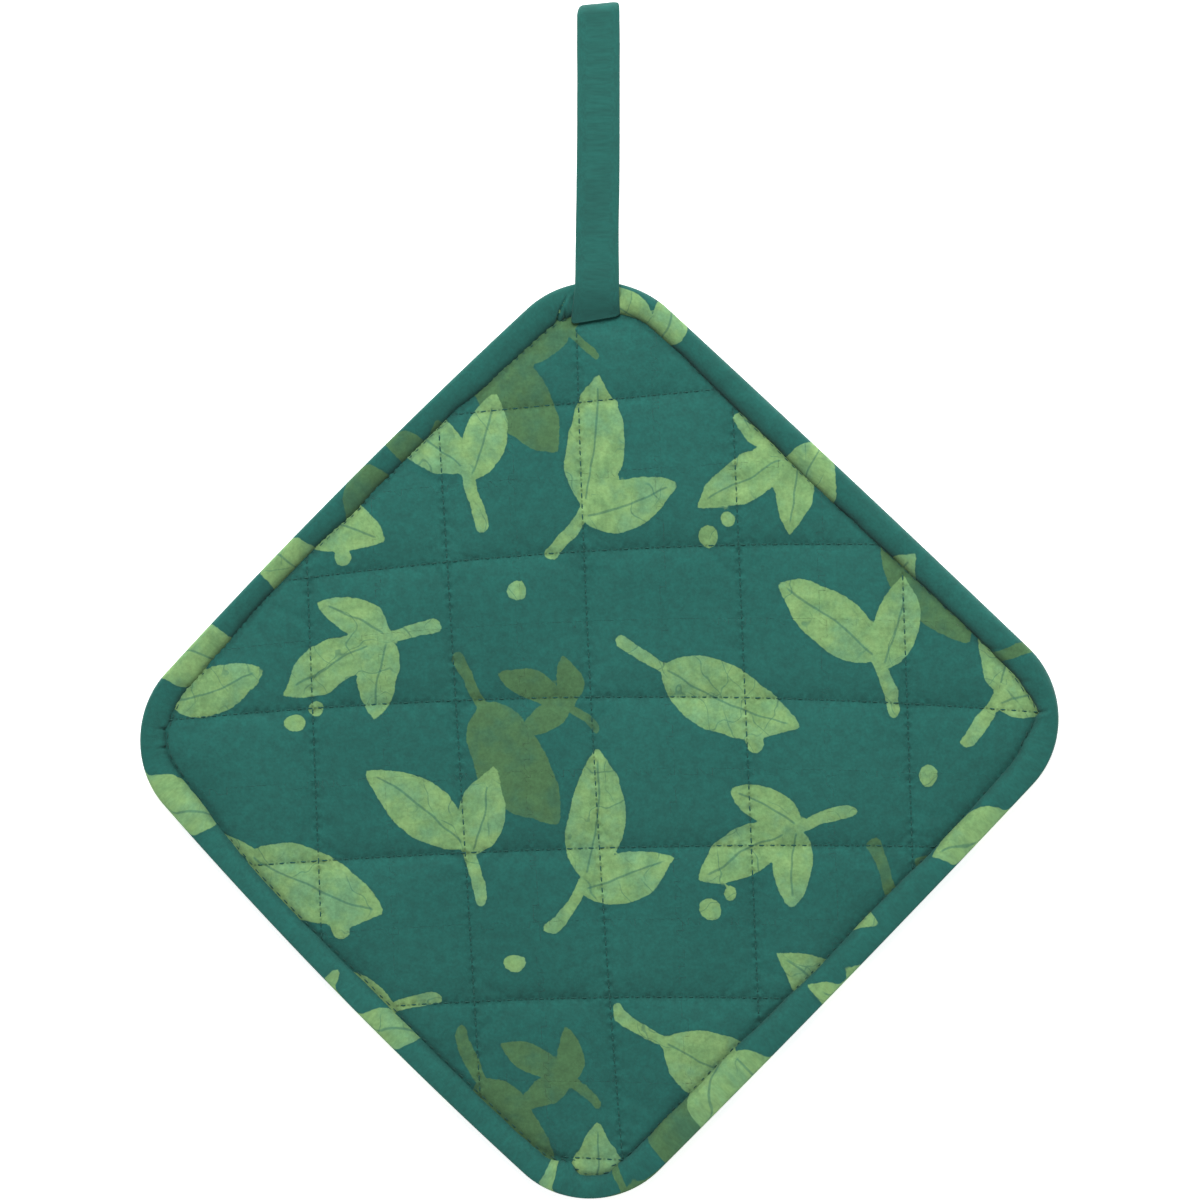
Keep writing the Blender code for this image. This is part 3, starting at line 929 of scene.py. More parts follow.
@dataclass(frozen=True)
class EdgeTape:
    """Tape of printed cloth folded over the pad's edge, one ring with a C-shaped section.

    Heights are in millimetres from the middle of the edge, crests and rolls as in Side.
    """

    outline: PadOutline
    leaf_print: LeafPrint
    stations: int = 1180
    front_steps: int = 28
    inner_steps: int = 8
    half_height: float = 3.4
    cloth: float = 0.55
    back_crest: float = 0.32
    back_roll: float = 0.42
    front_lip: float = -0.4
    back_lip: float = -1.75
    outer_share: float = 0.42
    squashed: float = 2.2
    squashed_power: float = 0.8
    squashed_lip: float = 0.45
    start_angle: float = 60.0
    drag: float = 0.2
    drag_lean: float = 0.9
    drag_cells: tuple[float, float] = (6.5, 17.0)
    gather: float = 0.2
    gather_cell: float = 3.0
    gather_stretch: tuple[float, float] = (1.25, 0.25)
    ridge_at: float = 2.4
    ridge_width: float = 1.7
    # Painted shade on the tape's front: the height above which it is painted, and how quickly it fades away
    # from the lip.
    painted_shade_above: float = -0.5
    painted_shade_share: float = 0.75
    cut: tuple[float, float] = (37.0, 64.0)
    creases: tuple[TapeCrease, ...] = records(
        TapeCrease,
        (94.84, 1.3, 0.95, 0.6, 1.0, 0.5), (94.6, 0.55, 0.4, 0.4, 1.0, 0.5), (2.8, -0.1, 0.55, 0.7),
        (7.2, 0.7, 0.2, 1.3), (12.4, 1.1, 0.28, 1.2, 0.9), (-3.6, -0.6, 0.16, 1.4),
        (-93.3, -0.9, 0.6, 0.6, 0.6), (-87.0, 0.5, 0.35, 0.8, 0.5), (-99.5, -0.7, 0.22, 1.2),
        (-81.0, 0.8, 0.18, 1.4), (179.2, 0.0, 0.5, 0.7, 0.5), (-177.8, 0.0, 0.5, 0.7, 0.5),
        (172.5, -0.7, 0.2, 1.2), (-171.0, 0.8, 0.2, 1.2), (147.0, 0.9, 0.22, 1.2),
        (49.0, -0.9, 0.18, 1.2),
    )

    def side_section(self, crest: Array, shoulder: Array, roll: Array, lip: float) -> tuple[Array, Array]:
        """Section of one side of the tape, from its outer edge over the crest to its lip.

        Two quarter superellipses meet at the crest: the outer one rises from the edge to full
        height, the inner one falls from there to the lip, upright where it ends.

        Args:
            crest: Share of the width at the crest, at each station.
            shoulder: Power of the outer quarter; 1 is round and less is squarer.
            roll: Power of the inner quarter.
            lip: Height of the lip from the middle.

        Returns:
            Inset as a share of the width, and height from the middle, stations by points.
        """
        travel, turn = np.linspace(0.0, 1.0, self.front_steps + 1)[None, :], self.outer_share
        crest, shoulder, roll = crest[:, None], shoulder[:, None], roll[:, None]
        outer = hold(travel / turn) * math.pi / 2.0
        inner = hold((travel - turn) / (1.0 - turn)) * math.pi / 2.0
        share_out = crest * (1.0 - np.abs(np.cos(outer)) ** shoulder)
        share_in = crest + (1.0 - crest) * np.abs(np.sin(inner)) ** roll
        climb = self.half_height * np.abs(np.sin(outer)) ** shoulder
        drop = lip + (self.half_height - lip) * np.abs(np.cos(inner)) ** roll
        return np.where(travel <= turn, share_out, share_in), np.where(travel <= turn, climb, drop)

    def section(self, points: Array) -> tuple[Array, Array]:
        """Whole outer section from the front lip round the edge to the back lip.

        Args:
            points: Outline point at each station.

        Returns:
            Inset as a share of the width, and height from the middle, stations by points.
        """
        sides = self.outline.sides
        tables = [[getattr(side, name) for side in sides] for name in ("crest", "shoulder", "roll")]
        blends = [self.outline.blended(points, table) for table in tables]
        front = self.side_section(*blends, self.front_lip)
        same = np.ones(len(points))
        back = self.side_section(self.back_crest * same, same, self.back_roll * same, -self.back_lip)
        share = np.hstack((front[0][:, ::-1], back[0][:, 1:]))
        lift = np.hstack((front[1][:, ::-1], -back[1][:, 1:]))
        return share, lift

    def build(self) -> bpy.types.Object:
        """Carries the section round the outline, with an inner layer one cloth inside the outer.

        Returns:
            The finished piece.
        """
        crowded = [crease.direction for crease in self.creases]
        points, inward, travel, folds = self.outline.stations(self.stations, self.start_angle, crowded)
        width = self.outline.tape_width(points)
        share, lift = self.section(points)
        depth = share * width[:, None]
        pressed = self.outline.squash(points)[:, None]
        size = np.abs(lift) / self.half_height
        thin = np.sign(lift) * self.squashed * size**self.squashed_power
        thin = thin * (1.0 - self.squashed_lip * share**2)
        lift = lift + (thin - lift) * pressed
        rise = unit(np.stack((np.gradient(depth, axis=1), np.gradient(lift, axis=1)), axis=-1))
        wrinkle = self.wrinkles(points, travel[:-1], depth, lift, width)
        wrinkle += self.folded(travel, folds, depth, lift, width)
        outward = np.stack((rise[..., 1], -rise[..., 0]), axis=-1)
        outer = np.stack((depth, lift), axis=-1) + outward * wrinkle[..., None]
        pick = np.linspace(0, share.shape[1] - 1, 2 * self.inner_steps + 1).round().astype(int)
        inner = (outer - outward * self.cloth)[:, pick[::-1]]
        ring = np.concatenate((outer, inner), axis=1)
        ring[..., 1] = np.maximum(ring[..., 1], -self.half_height)
        flat = points[:, None, :] + inward[:, None, :] * ring[..., :1]
        solid = np.concatenate((flat, self.half_height + ring[..., 1:]), axis=-1)
        count = ring.shape[1]
        faces = grid_faces(self.stations, count, True, True)
        across = travel_along(ring[0])
        across = np.append(across, across[-1] + self.cloth)
        uv = grid_corner_uv(travel, across)
        fields = self.cloth_fields(travel[:-1], across[:-1])
        # Painted shade: the front of the tape is darkened towards its lip, where it turns into the ditch.
        from_lip = self.painted_shade_share * (width[:, None] - ring[..., 0])
        in_front = ring[..., 1] > self.painted_shade_above
        fields["painted_shade_distance"] = np.where(in_front, from_lip, FAR_FROM_PAINTED_SHADE).ravel()
        return make_piece(TAPE_NAME, solid.reshape(-1, 3), (faces,), uv, fields)

    def wrinkles(self, points: Array, travel: Array, depth: Array, lift: Array, width: Array) -> Array:
        """Height of the tape's small folds.

        Slanting drag lines are noise along the tape that shifts across it. Gathers at the corners
        are finer noise that grows towards the lip.

        Args:
            points: Outline points.
            travel: Distance of each along the tape.
            depth: Inset of each section point.
            lift: Height of each section point from the middle.
            width: Visible width at each station.

        Returns:
            Height along the outward direction, stations by section points.
        """
        along = travel[:, None] + self.drag_lean * depth * np.sign(lift)
        short, long = self.drag_cells
        drag = smooth_noise(along, lift * 1.4, short, 51) + 0.5 * smooth_noise(along, lift, long, 52)
        toward_lip = ease(depth / width[:, None])
        along_scale, across_scale = self.gather_stretch
        gathers = smooth_noise(
            travel[:, None] * along_scale, depth * across_scale, self.gather_cell, 53
        )
        corner = self.outline.cornerness(points)[:, None]
        body = self.drag * drag * ease(depth / 2.0)
        return body + self.gather * corner * toward_lip * gathers

    def folded(self, travel: Array, folds: Array, depth: Array, lift: Array, width: Array) -> Array:
        """Height of the creases: each a narrow bell cut in, with a wider bell raised beside it.

        Args:
            travel: Distance of each station along the tape, with the whole length last.
            folds: Distance of each crease along the tape.
            depth: Inset of each section point.
            lift: Height of each section point from the middle.
            width: Visible width at each station.

        Returns:
            Height along the outward direction, stations by section points.
        """
        whole = travel[-1]
        total = np.zeros_like(depth)
        share = depth / width[:, None]
        for crease, at in zip(self.creases, folds):
            front = ease(lift / 1.5 + 0.5) * ease(1.2 * (share - 1.0 + crease.reach) / crease.reach)
            along = (travel[:-1] - at + whole / 2.0) % whole - whole / 2.0
            slanted = along[:, None] + crease.lean * (depth - width[:, None] / 2.0)
            valley = np.exp(-((slanted / crease.half_width) ** 2))
            beside = (slanted / crease.half_width - self.ridge_at) / self.ridge_width
            total += crease.depth * front * (crease.ridge * np.exp(-(beside**2)) - valley)
        return total

    def cloth_fields(self, travel: Array, across: Array) -> dict[str, Array]:
        """Print distances on the tape, which is cut on the bias of the same cloth."""
        along, side = np.meshgrid(travel, across, indexing="ij")
        half = math.sqrt(0.5)
        u, v = along.ravel(), side.ravel()
        cloth = np.column_stack(((u - v) * half, (u + v) * half)) + self.cut
        return self.leaf_print.fields(cloth, 171)

    def dress(self, piece: bpy.types.Object, material: bpy.types.Material) -> None:
        """Gives the tape its cloth and its body, and hides the model's own binding."""
        piece.data.materials.append(material)
        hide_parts("edge_binding")
        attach(piece, BODY)


@dataclass(frozen=True)
class StrapRow:
    """A place along the strap's front leg: middle, width and height of its underside."""

    y: float
    x: float
    width: float
    under: float


@dataclass(frozen=True)
class HangingStrap:
    """Flat plain strap folded in two, its legs sewn over the front and the back of the corner.

    Values that end in reach or from say how far, or from which y, an effect goes, in millimetres.
    """

    rows: tuple[StrapRow, ...] = records(
        StrapRow,
        (84.1, -1.0, 15.0, 3.5), (85.5, -0.95, 14.7, 3.75), (87.0, -0.9, 14.4, 4.2),
        (88.5, -0.85, 14.1, 4.75), (90.0, -0.75, 13.8, 5.3), (92.0, -0.7, 13.5, 5.9),
        (94.5, -0.6, 13.2, 6.35), (97.5, -0.55, 13.1, 6.5), (103.0, -0.55, 13.0, 6.25),
        (112.0, -0.45, 12.9, 5.95), (130.0, -0.35, 12.9, 6.0), (150.0, -0.25, 12.8, 6.2),
        (166.0, -0.2, 12.8, 6.35), (175.5, -0.15, 12.8, 6.4),
    )
    thickness: float = 1.2
    back_width: float = 13.4
    leg_steps: int = 150
    leg_power: float = 1.35
    fold_steps: int = 26
    around: int = 64
    corner_power: float = 0.3
    slant: float = 0.1
    slant_from: float = 150.0
    slant_reach: float = 25.0
    worn_corner: float = 1.1
    worn_from: float = 172.0
    worn_reach: float = 5.0
    worn_edge: float = 4.9
    worn_width: float = 1.5
    bumps: float = 0.035
    bump_cell: float = 7.0
    hollow: float = 0.06
    half_hollow: float = 6.4
    edge_line: float = 5.3
    edge_dent: float = 0.09
    dent_width: float = 0.35
    narrowing: float = 1.0
    ripple: float = 0.12
    ripple_cell: float = 14.0
    end_round: float = 1.3
    foot_slant: float = 0.17
    foot_from: float = 88.5
    foot_reach: float = 4.5
    # Length over which the painted shade at the strap's ends fades.
    painted_shade_reach: float = 5.0

    def path(self) -> tuple[Array, Array, Array]:
        """Middle line from the front end over the fold to the back end.

        The front leg is eased through its rows, the fold is a half circle, and the back leg lies
        on the surface.

        Returns:
            Places (x, y, z), widths, and the distance along the strap.
        """
        half = self.thickness / 2.0
        table = np.array([(row.y, row.x, row.width, row.under) for row in self.rows])
        step = np.linspace(0.0, 1.0, self.leg_steps)
        y = table[0, 0] + (table[-1, 0] - table[0, 0]) * step**self.leg_power
        x, width, under = (self.eased(y, table[:, 0], table[:, k]) for k in (1, 2, 3))
        front = np.column_stack((x, y, under + half, width))
        back = np.column_stack((x, y, np.full(len(y), half), np.minimum(width, self.back_width)))[::-1]
        radius = (front[-1, 2] - half) / 2.0
        angle = np.linspace(0.0, math.pi, self.fold_steps + 2)[1:-1]
        fold = np.column_stack(
            (
                np.full(len(angle), x[-1]),
                y[-1] + radius * np.sin(angle),
                half + radius + radius * np.cos(angle),
                width[-1] - self.narrowing * np.sin(angle) ** 6,
            )
        )
        line = np.vstack((front, fold, back))
        return line[:, :3], line[:, 3], travel_along(line[:, 1:3])

    def eased(self, at: Array, places: Array, values: Array) -> Array:
        """Values through the rows, rounded off by averaging over two millimetres."""
        reach = np.linspace(-1.0, 1.0, 9)
        return np.mean([np.interp(at + shift, places, values) for shift in reach], axis=0)

    def build(self) -> bpy.types.Object:
        """Carries a flat superellipse along the path and closes both ends.

        Returns:
            The finished piece.
        """
        places, widths, travel = self.path()
        heading = unit(np.gradient(places[:, 1:3], axis=0))
        away = np.column_stack((-heading[:, 1], heading[:, 0]))
        angle = np.linspace(0.0, 2.0 * math.pi, self.around, endpoint=False)
        side = np.sign(np.cos(angle)) * np.abs(np.cos(angle)) ** self.corner_power
        out = np.sign(np.sin(angle)) * np.abs(np.sin(angle)) ** (2.2 * self.corner_power)
        waver = self.ripple * smooth_noise(travel, np.zeros(len(travel)), self.ripple_cell, 61)
        from_end = np.minimum(travel, travel[-1] - travel) / self.end_round
        cut = self.end_round * (1.0 - np.sqrt(1.0 - hold(1.0 - from_end) ** 2))
        across = side[None, :] * (widths / 2.0 - cut)[:, None] + waver[:, None]
        lift = out[None, :] * self.thickness / 2.0
        lift = lift + self.surface(travel, across) * np.abs(out)[None, :]
        tilt = self.slant * ease((places[:, 1] - self.slant_from) / self.slant_reach)
        tilt += self.foot_slant * ease((self.foot_from - places[:, 1]) / self.foot_reach)
        worn = self.worn_corner * ease((places[:, 1] - self.worn_from) / self.worn_reach)[:, None]
        worn = worn * hold((-across - self.worn_edge) / self.worn_width) ** 2
        solid = np.stack(
            (
                places[:, :1] + across,
                places[:, 1:2] + away[:, :1] * lift + tilt[:, None] * across - worn,
                np.maximum(places[:, 2:3] + away[:, 1:] * lift, 0.0),
            ),
            axis=-1,
        )
        rows, count = solid.shape[:2]
        faces = grid_faces(rows, count, False, True)[:, ::-1]
        ends = solid[[0, -1]].mean(axis=1)
        ring = np.arange(count)
        after = np.roll(ring, -1)
        first = np.column_stack((ring, after, np.full(count, rows * count)))
        final = np.column_stack((after, ring, np.full(count, rows * count + 1)))
        final[:, :2] += (rows - 1) * count
        girth = np.linspace(0.0, 2.0 * (widths[0] + self.thickness), count + 1)
        uv = grid_corner_uv(travel, girth).reshape(-1, 4, 2)[:, ::-1].reshape(-1, 2)
        uv = np.vstack((uv, np.zeros((6 * count, 2))))
        points = np.vstack((solid.reshape(-1, 3), ends))
        # Painted shade: the strap's colour is darkened towards both sewn ends, where the front leg dips
        # into the ditch.
        from_foot = np.repeat(np.minimum(travel, travel[-1] - travel) / self.painted_shade_reach, count)
        fields = {"painted_shade_distance": np.concatenate((from_foot, np.zeros(2)))}
        return make_piece(STRAP_NAME, points, (faces, first, final), uv, fields)

    def surface(self, travel: Array, across: Array) -> Array:
        """Small unevenness of the pressed strap.

        Noise along it, a little hollow down its middle, and a fine dent beside each folded edge,
        where the cloth inside ends.

        Args:
            travel: Distance of each section along the strap.
            across: Distance of each point from the middle line.

        Returns:
            Height along the outward direction, in millimetres.
        """
        bumps = smooth_noise(travel[:, None], across + 20.0, self.bump_cell, 62)
        hollow = hold(1.0 - (across / self.half_hollow) ** 2)
        dent = np.exp(-(((np.abs(across) - self.edge_line) / self.dent_width) ** 2))
        return self.bumps * bumps - self.hollow * hollow - self.edge_dent * dent

    def dress(self, piece: bpy.types.Object, material: bpy.types.Material) -> None:
        """Gives the strap its cloth and its body, and hides the model's own loop."""
        piece.data.materials.append(material)
        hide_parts("hanging_loop")
        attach(piece, BODY)


@dataclass(frozen=True)
class StitchRun:
    """Stitches on one face: their flat places, heights and flat directions."""

    face: Face
    flat: Array
    height: Array
    heading: Array


@dataclass(frozen=True)
class StitchForm:
    """One stitch of thread seen from outside: a short arched rod that dips at both ends."""

    length: float = 2.2
    radius: float = 0.2
    sides: int = 6
    rings: int = 6
    dip: float = 0.42
    length_spread: tuple[float, float] = (0.9, 1.08)

    def rods(
        self, centres: Array, headings: Array, ups: Array, lengths: Array
    ) -> tuple[Array, list[Whole], Array]:
        """Points and faces of a rod at each centre.

        The middle line is a low arch, the radius a flattened half wave, and both ends close on a
        single point.

        Args:
            centres: Middle of each stitch.
            headings: Unit direction of each stitch.
            ups: Unit direction out of the cloth at each.
            lengths: Length of each.

        Returns:
            Points, faces, and cloth coordinates of the face corners.
        """
        travel = np.linspace(-1.0, 1.0, self.rings + 2)[1:-1]
        angle = np.linspace(0.0, 2.0 * math.pi, self.sides, endpoint=False)
        sideways = np.cross(headings, ups)
        arch = -self.dip * travel**2
        thick = self.radius * np.sqrt(1.0 - np.abs(travel) ** 3)
        out = arch[:, None] + thick[:, None] * np.sin(angle)[None, :]
        side = thick[:, None] * np.cos(angle)[None, :]
        run = travel[None, :, None, None] * lengths[:, None, None, None] / 2.0
        ring = (
            centres[:, None, None, :]
            + headings[:, None, None, :] * run
            + ups[:, None, None, :] * out[None, :, :, None]
            + sideways[:, None, None, :] * side[None, :, :, None]
        )
        count = len(centres)
        half = headings * (lengths / 2.0)[:, None]
        tips = np.stack((centres - half, centres + half), axis=1) - ups[:, None] * self.dip
        points = np.concatenate((ring.reshape(count, -1, 3), tips), axis=1)
        size = self.rings * self.sides
        body = grid_faces(self.rings, self.sides, False, True)
        here = np.arange(self.sides)
        after = np.roll(here, -1)
        start = np.column_stack((after, here, np.full(self.sides, size)))
        last = size - self.sides
        final = np.column_stack((here + last, after + last, np.full(self.sides, size + 1)))
        step = (np.arange(count) * (size + 2))[:, None, None]
        faces = [(part[None] + step).reshape(-1, part.shape[1]) for part in (body, start, final)]
        around = np.linspace(0.0, 2.0 * math.pi * self.radius, self.sides + 1)
        uv = np.tile(grid_corner_uv(np.linspace(0.0, self.length, self.rings), around), (count, 1))
        uv = np.vstack((uv, np.zeros((count * self.sides * 6, 2))))
        return points.reshape(-1, 3), faces, uv

    def sew(self, name: str, runs: Sequence[StitchRun], chance: np.random.Generator) -> bpy.types.Object:
        """Puts the stitches of both faces into one mesh, with lengths that differ a little.

        Args:
            name: Name of the piece.
            runs: The places of each face.
            chance: Source of the lengths.

        Returns:
            The finished piece.
        """
        centre = np.vstack([np.column_stack((run.flat, run.height)) for run in runs])
        heading = np.vstack([np.column_stack((run.heading, np.zeros(len(run.flat)))) for run in runs])
        up = np.vstack([np.tile((0.0, 0.0, float(run.face.value)), (len(run.flat), 1)) for run in runs])
        lengths = self.length * chance.uniform(*self.length_spread, len(centre))
        points, faces, uv = self.rods(centre, heading, up, lengths)
        LOG.info("%s has %d stitches", name, len(centre))
        return make_piece(name, points, faces, uv)


@dataclass(frozen=True)
class QuiltThread:
    """The quilting's running stitches on both faces."""

    pad: PadCloths
    form: StitchForm = StitchForm()
    clear_of_tape: float = 0.6
    sink: float = 0.08
    reach: float = 160.0
    strap_foot: float = 82.0
    sway: float = 0.05

    def places(self, line: QuiltLine, number: int, upright: bool) -> Array:
        """Middle of each stitch along a sewn line, where its stitch coordinate is a whole number.

        Args:
            line: The sewn line.
            number: Its number in its family.
            upright: Whether it is an upright line.

        Returns:
            Points on the face that are clear of the tape.
        """
        pitch = self.pad.pattern.stitch_pitch
        phase = self.pad.pattern.line_phase * number
        first = math.ceil(-self.reach / pitch + phase)
        along = (np.arange(first, first + round(2.0 * self.reach / pitch)) - phase) * pitch
        across = line.place(along)
        points = np.column_stack((across, along) if upright else (along, across))
        points[:, 1] += self.pad.pattern.level_base
        outline = self.pad.outline
        inside = outline.past_tape(points) > self.clear_of_tape
        under_strap = (outline.squash(points) > 0.5) & (points[:, 1] > self.strap_foot)
        return points[inside & ~under_strap]

    def build(self) -> bpy.types.Object:
        """All stitches of both faces in one mesh, set into the channels.

        Returns:
            The finished piece.
        """
        pattern = self.pad.pattern
        families = ((pattern.upright, True), (pattern.level, False))
        lines = [
            self.places(line, number, upright)
            for family, upright in families
            for number, line in enumerate(family)
        ]
        flat = np.vstack(lines)
        heading = unit(np.vstack([np.gradient(line, axis=0) for line in lines]))
        chance = np.random.default_rng(81)
        runs = []
        for face in Face:
            height = self.pad.heights(flat, face) + face.value * (self.form.radius - self.sink)
            turned = unit(heading + chance.normal(0.0, self.sway, heading.shape))
            runs.append(StitchRun(face, flat, height, turned))
        return self.form.sew(THREAD_NAME, runs, chance)

    def dress(self, piece: bpy.types.Object, material: bpy.types.Material) -> None:
        """Gives the thread its material and its body."""
        piece.data.materials.append(material)
        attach(piece, BODY)


@dataclass(frozen=True)
class EdgeSeamThread:
    """The stitches that hold the tape: in the ditch on the front, along the lip on the back."""

    pad: PadCloths
    tape: EdgeTape
    form: StitchForm = StitchForm(length=2.3, radius=0.17, dip=0.28)
    front_offset: float = 0.15
    back_offset: float = -1.3
    front_lift: float = 0.05
    back_height: float = 0.38
    pitch: float = 3.1
    line_points: int = 3000
    strap_middle: float = -1.0
    strap_clear: float = 8.2

    def build(self) -> bpy.types.Object:
        """Stitches at even steps along lines beside the tape's two lips.

        Returns:
            The finished piece.
        """
        outline = self.pad.outline
        dense, inward, _, _ = outline.stations(self.line_points, self.tape.start_angle)
        runs = []
        for face in Face:
            offset = self.front_offset if face is Face.FRONT else self.back_offset
            line = dense + inward * (outline.tape_width(dense) + offset)[:, None]
            length = travel_along(np.vstack((line, line[:1])))
            wanted = np.arange(0.5, length[-1] / self.pitch - 0.5) * self.pitch
            flat = np.column_stack([np.interp(wanted, length[:-1], line[:, k]) for k in (0, 1)])
            flat = flat[(outline.squash(flat) < 0.5) | (face is Face.BACK)]
            beside_strap = np.abs(flat[:, 0] - self.strap_middle) > self.strap_clear
            flat = flat[beside_strap | (flat[:, 1] < 60.0)]
            if face is Face.FRONT:
                height = self.pad.heights(flat, face) + self.front_lift
            else:
                height = np.full(len(flat), self.back_height)
            inner = outline.inward(flat)
            runs.append(StitchRun(face, flat, height, np.column_stack((inner[:, 1], -inner[:, 0]))))
        return self.form.sew(SEAM_THREAD_NAME, runs, np.random.default_rng(83))

    def dress(self, piece: bpy.types.Object, material: bpy.types.Material) -> None:
        """Gives the thread its material and its body."""
        piece.data.materials.append(material)
        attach(piece, BODY)


class Graph:
    """Short ways to add nodes to a tree and join them."""

    def __init__(self, tree: bpy.types.NodeTree) -> None:
        """Keeps the tree that nodes are added to."""
        self.tree = tree

    def add(self, kind: str, **settings: object) -> bpy.types.Node:
        """Adds a node and sets its properties.

        Args:
            kind: Blender's name of the node type.
            **settings: Properties of the node, by name.

        Returns:
            The node.
        """
        node = self.tree.nodes.new(kind)
        for key, value in settings.items():
            setattr(node, key, value)
        return node

    def feed(self, socket: Socket, value: Value) -> None:
        """Links a socket to another, or sets its own value."""
        if isinstance(value, bpy.types.NodeSocket):
            self.tree.links.new(value, socket)
        elif isinstance(value, tuple) and len(socket.default_value) == 4:
            socket.default_value = (*value, 1.0)
        else:
            socket.default_value = value

    def fill(self, node: bpy.types.Node, **values: Value) -> bpy.types.Node:
        """Feeds a node's inputs by name, with spaces for underscores, and gives the node back."""
        for key, value in values.items():
            self.feed(node.inputs[key.replace("_", " ")], value)
        return node

    def maths(self, operation: str, *values: Value) -> Socket:
        """Result of a Math node on sockets or numbers."""
        node = self.add("ShaderNodeMath", operation=operation)
        for socket, value in zip(node.inputs, values):
            self.feed(socket, value)
        return node.outputs[0]

    def times(self, first: Value, second: Value) -> Socket:
        """Product of two sockets or numbers."""
        return self.maths("MULTIPLY", first, second)

    def mix(self, share: Value, first: Value, second: Value) -> Socket:
        """Colour between two others."""
        node = self.add("ShaderNodeMix", data_type="RGBA")
        self.feed(node.inputs["Factor"], share)
        self.feed(node.inputs[6], first)
        self.feed(node.inputs[7], second)
        return node.outputs[2]

    def span(self, value: Value, low: float, high: float, start: float = 0.0, end: float = 1.0) -> Socket:
        """Value eased from one range to another and held at its ends."""
        node = self.add("ShaderNodeMapRange", interpolation_type="SMOOTHSTEP", clamp=True)
        self.fill(node, Value=value, From_Min=low, From_Max=high, To_Min=start, To_Max=end)
        return node.outputs[0]

    def noise(self, place: Socket, size: float, detail: float = 2.0, roughness: float = 0.5) -> Socket:
        """Noise between 0 and 1 whose lumps are about size metres."""
        node = self.add("ShaderNodeTexNoise")
        self.fill(node, Vector=place, Scale=1.0 / size, Detail=detail, Roughness=roughness)
        return node.outputs["Fac"]

    def field(self, name: str) -> Socket:
        """A value stored on the mesh."""
        return self.add("ShaderNodeAttribute", attribute_name=name).outputs["Fac"]

    def group(self, tree: bpy.types.NodeTree, **values: Value) -> bpy.types.Node:
        """Places a node group and feeds its inputs."""
        return self.fill(self.add("ShaderNodeGroup", node_tree=tree), **values)

    def bump(self, shader: bpy.types.Node, height: Socket, strength: float) -> None:
        """Tilts a shader's surface by a height in millimetres."""
        node = self.fill(self.add("ShaderNodeBump"), Strength=strength, Distance=MM, Height=height)
        self.feed(shader.inputs["Normal"], node.outputs[0])


def start_material(name: str) -> tuple[bpy.types.Material, Graph, bpy.types.Node]:
    """A new material, its graph and its surface shader."""
    material = bpy.data.materials.new(name)
    material.use_nodes = True
    return material, Graph(material.node_tree), material.node_tree.nodes["Principled BSDF"]


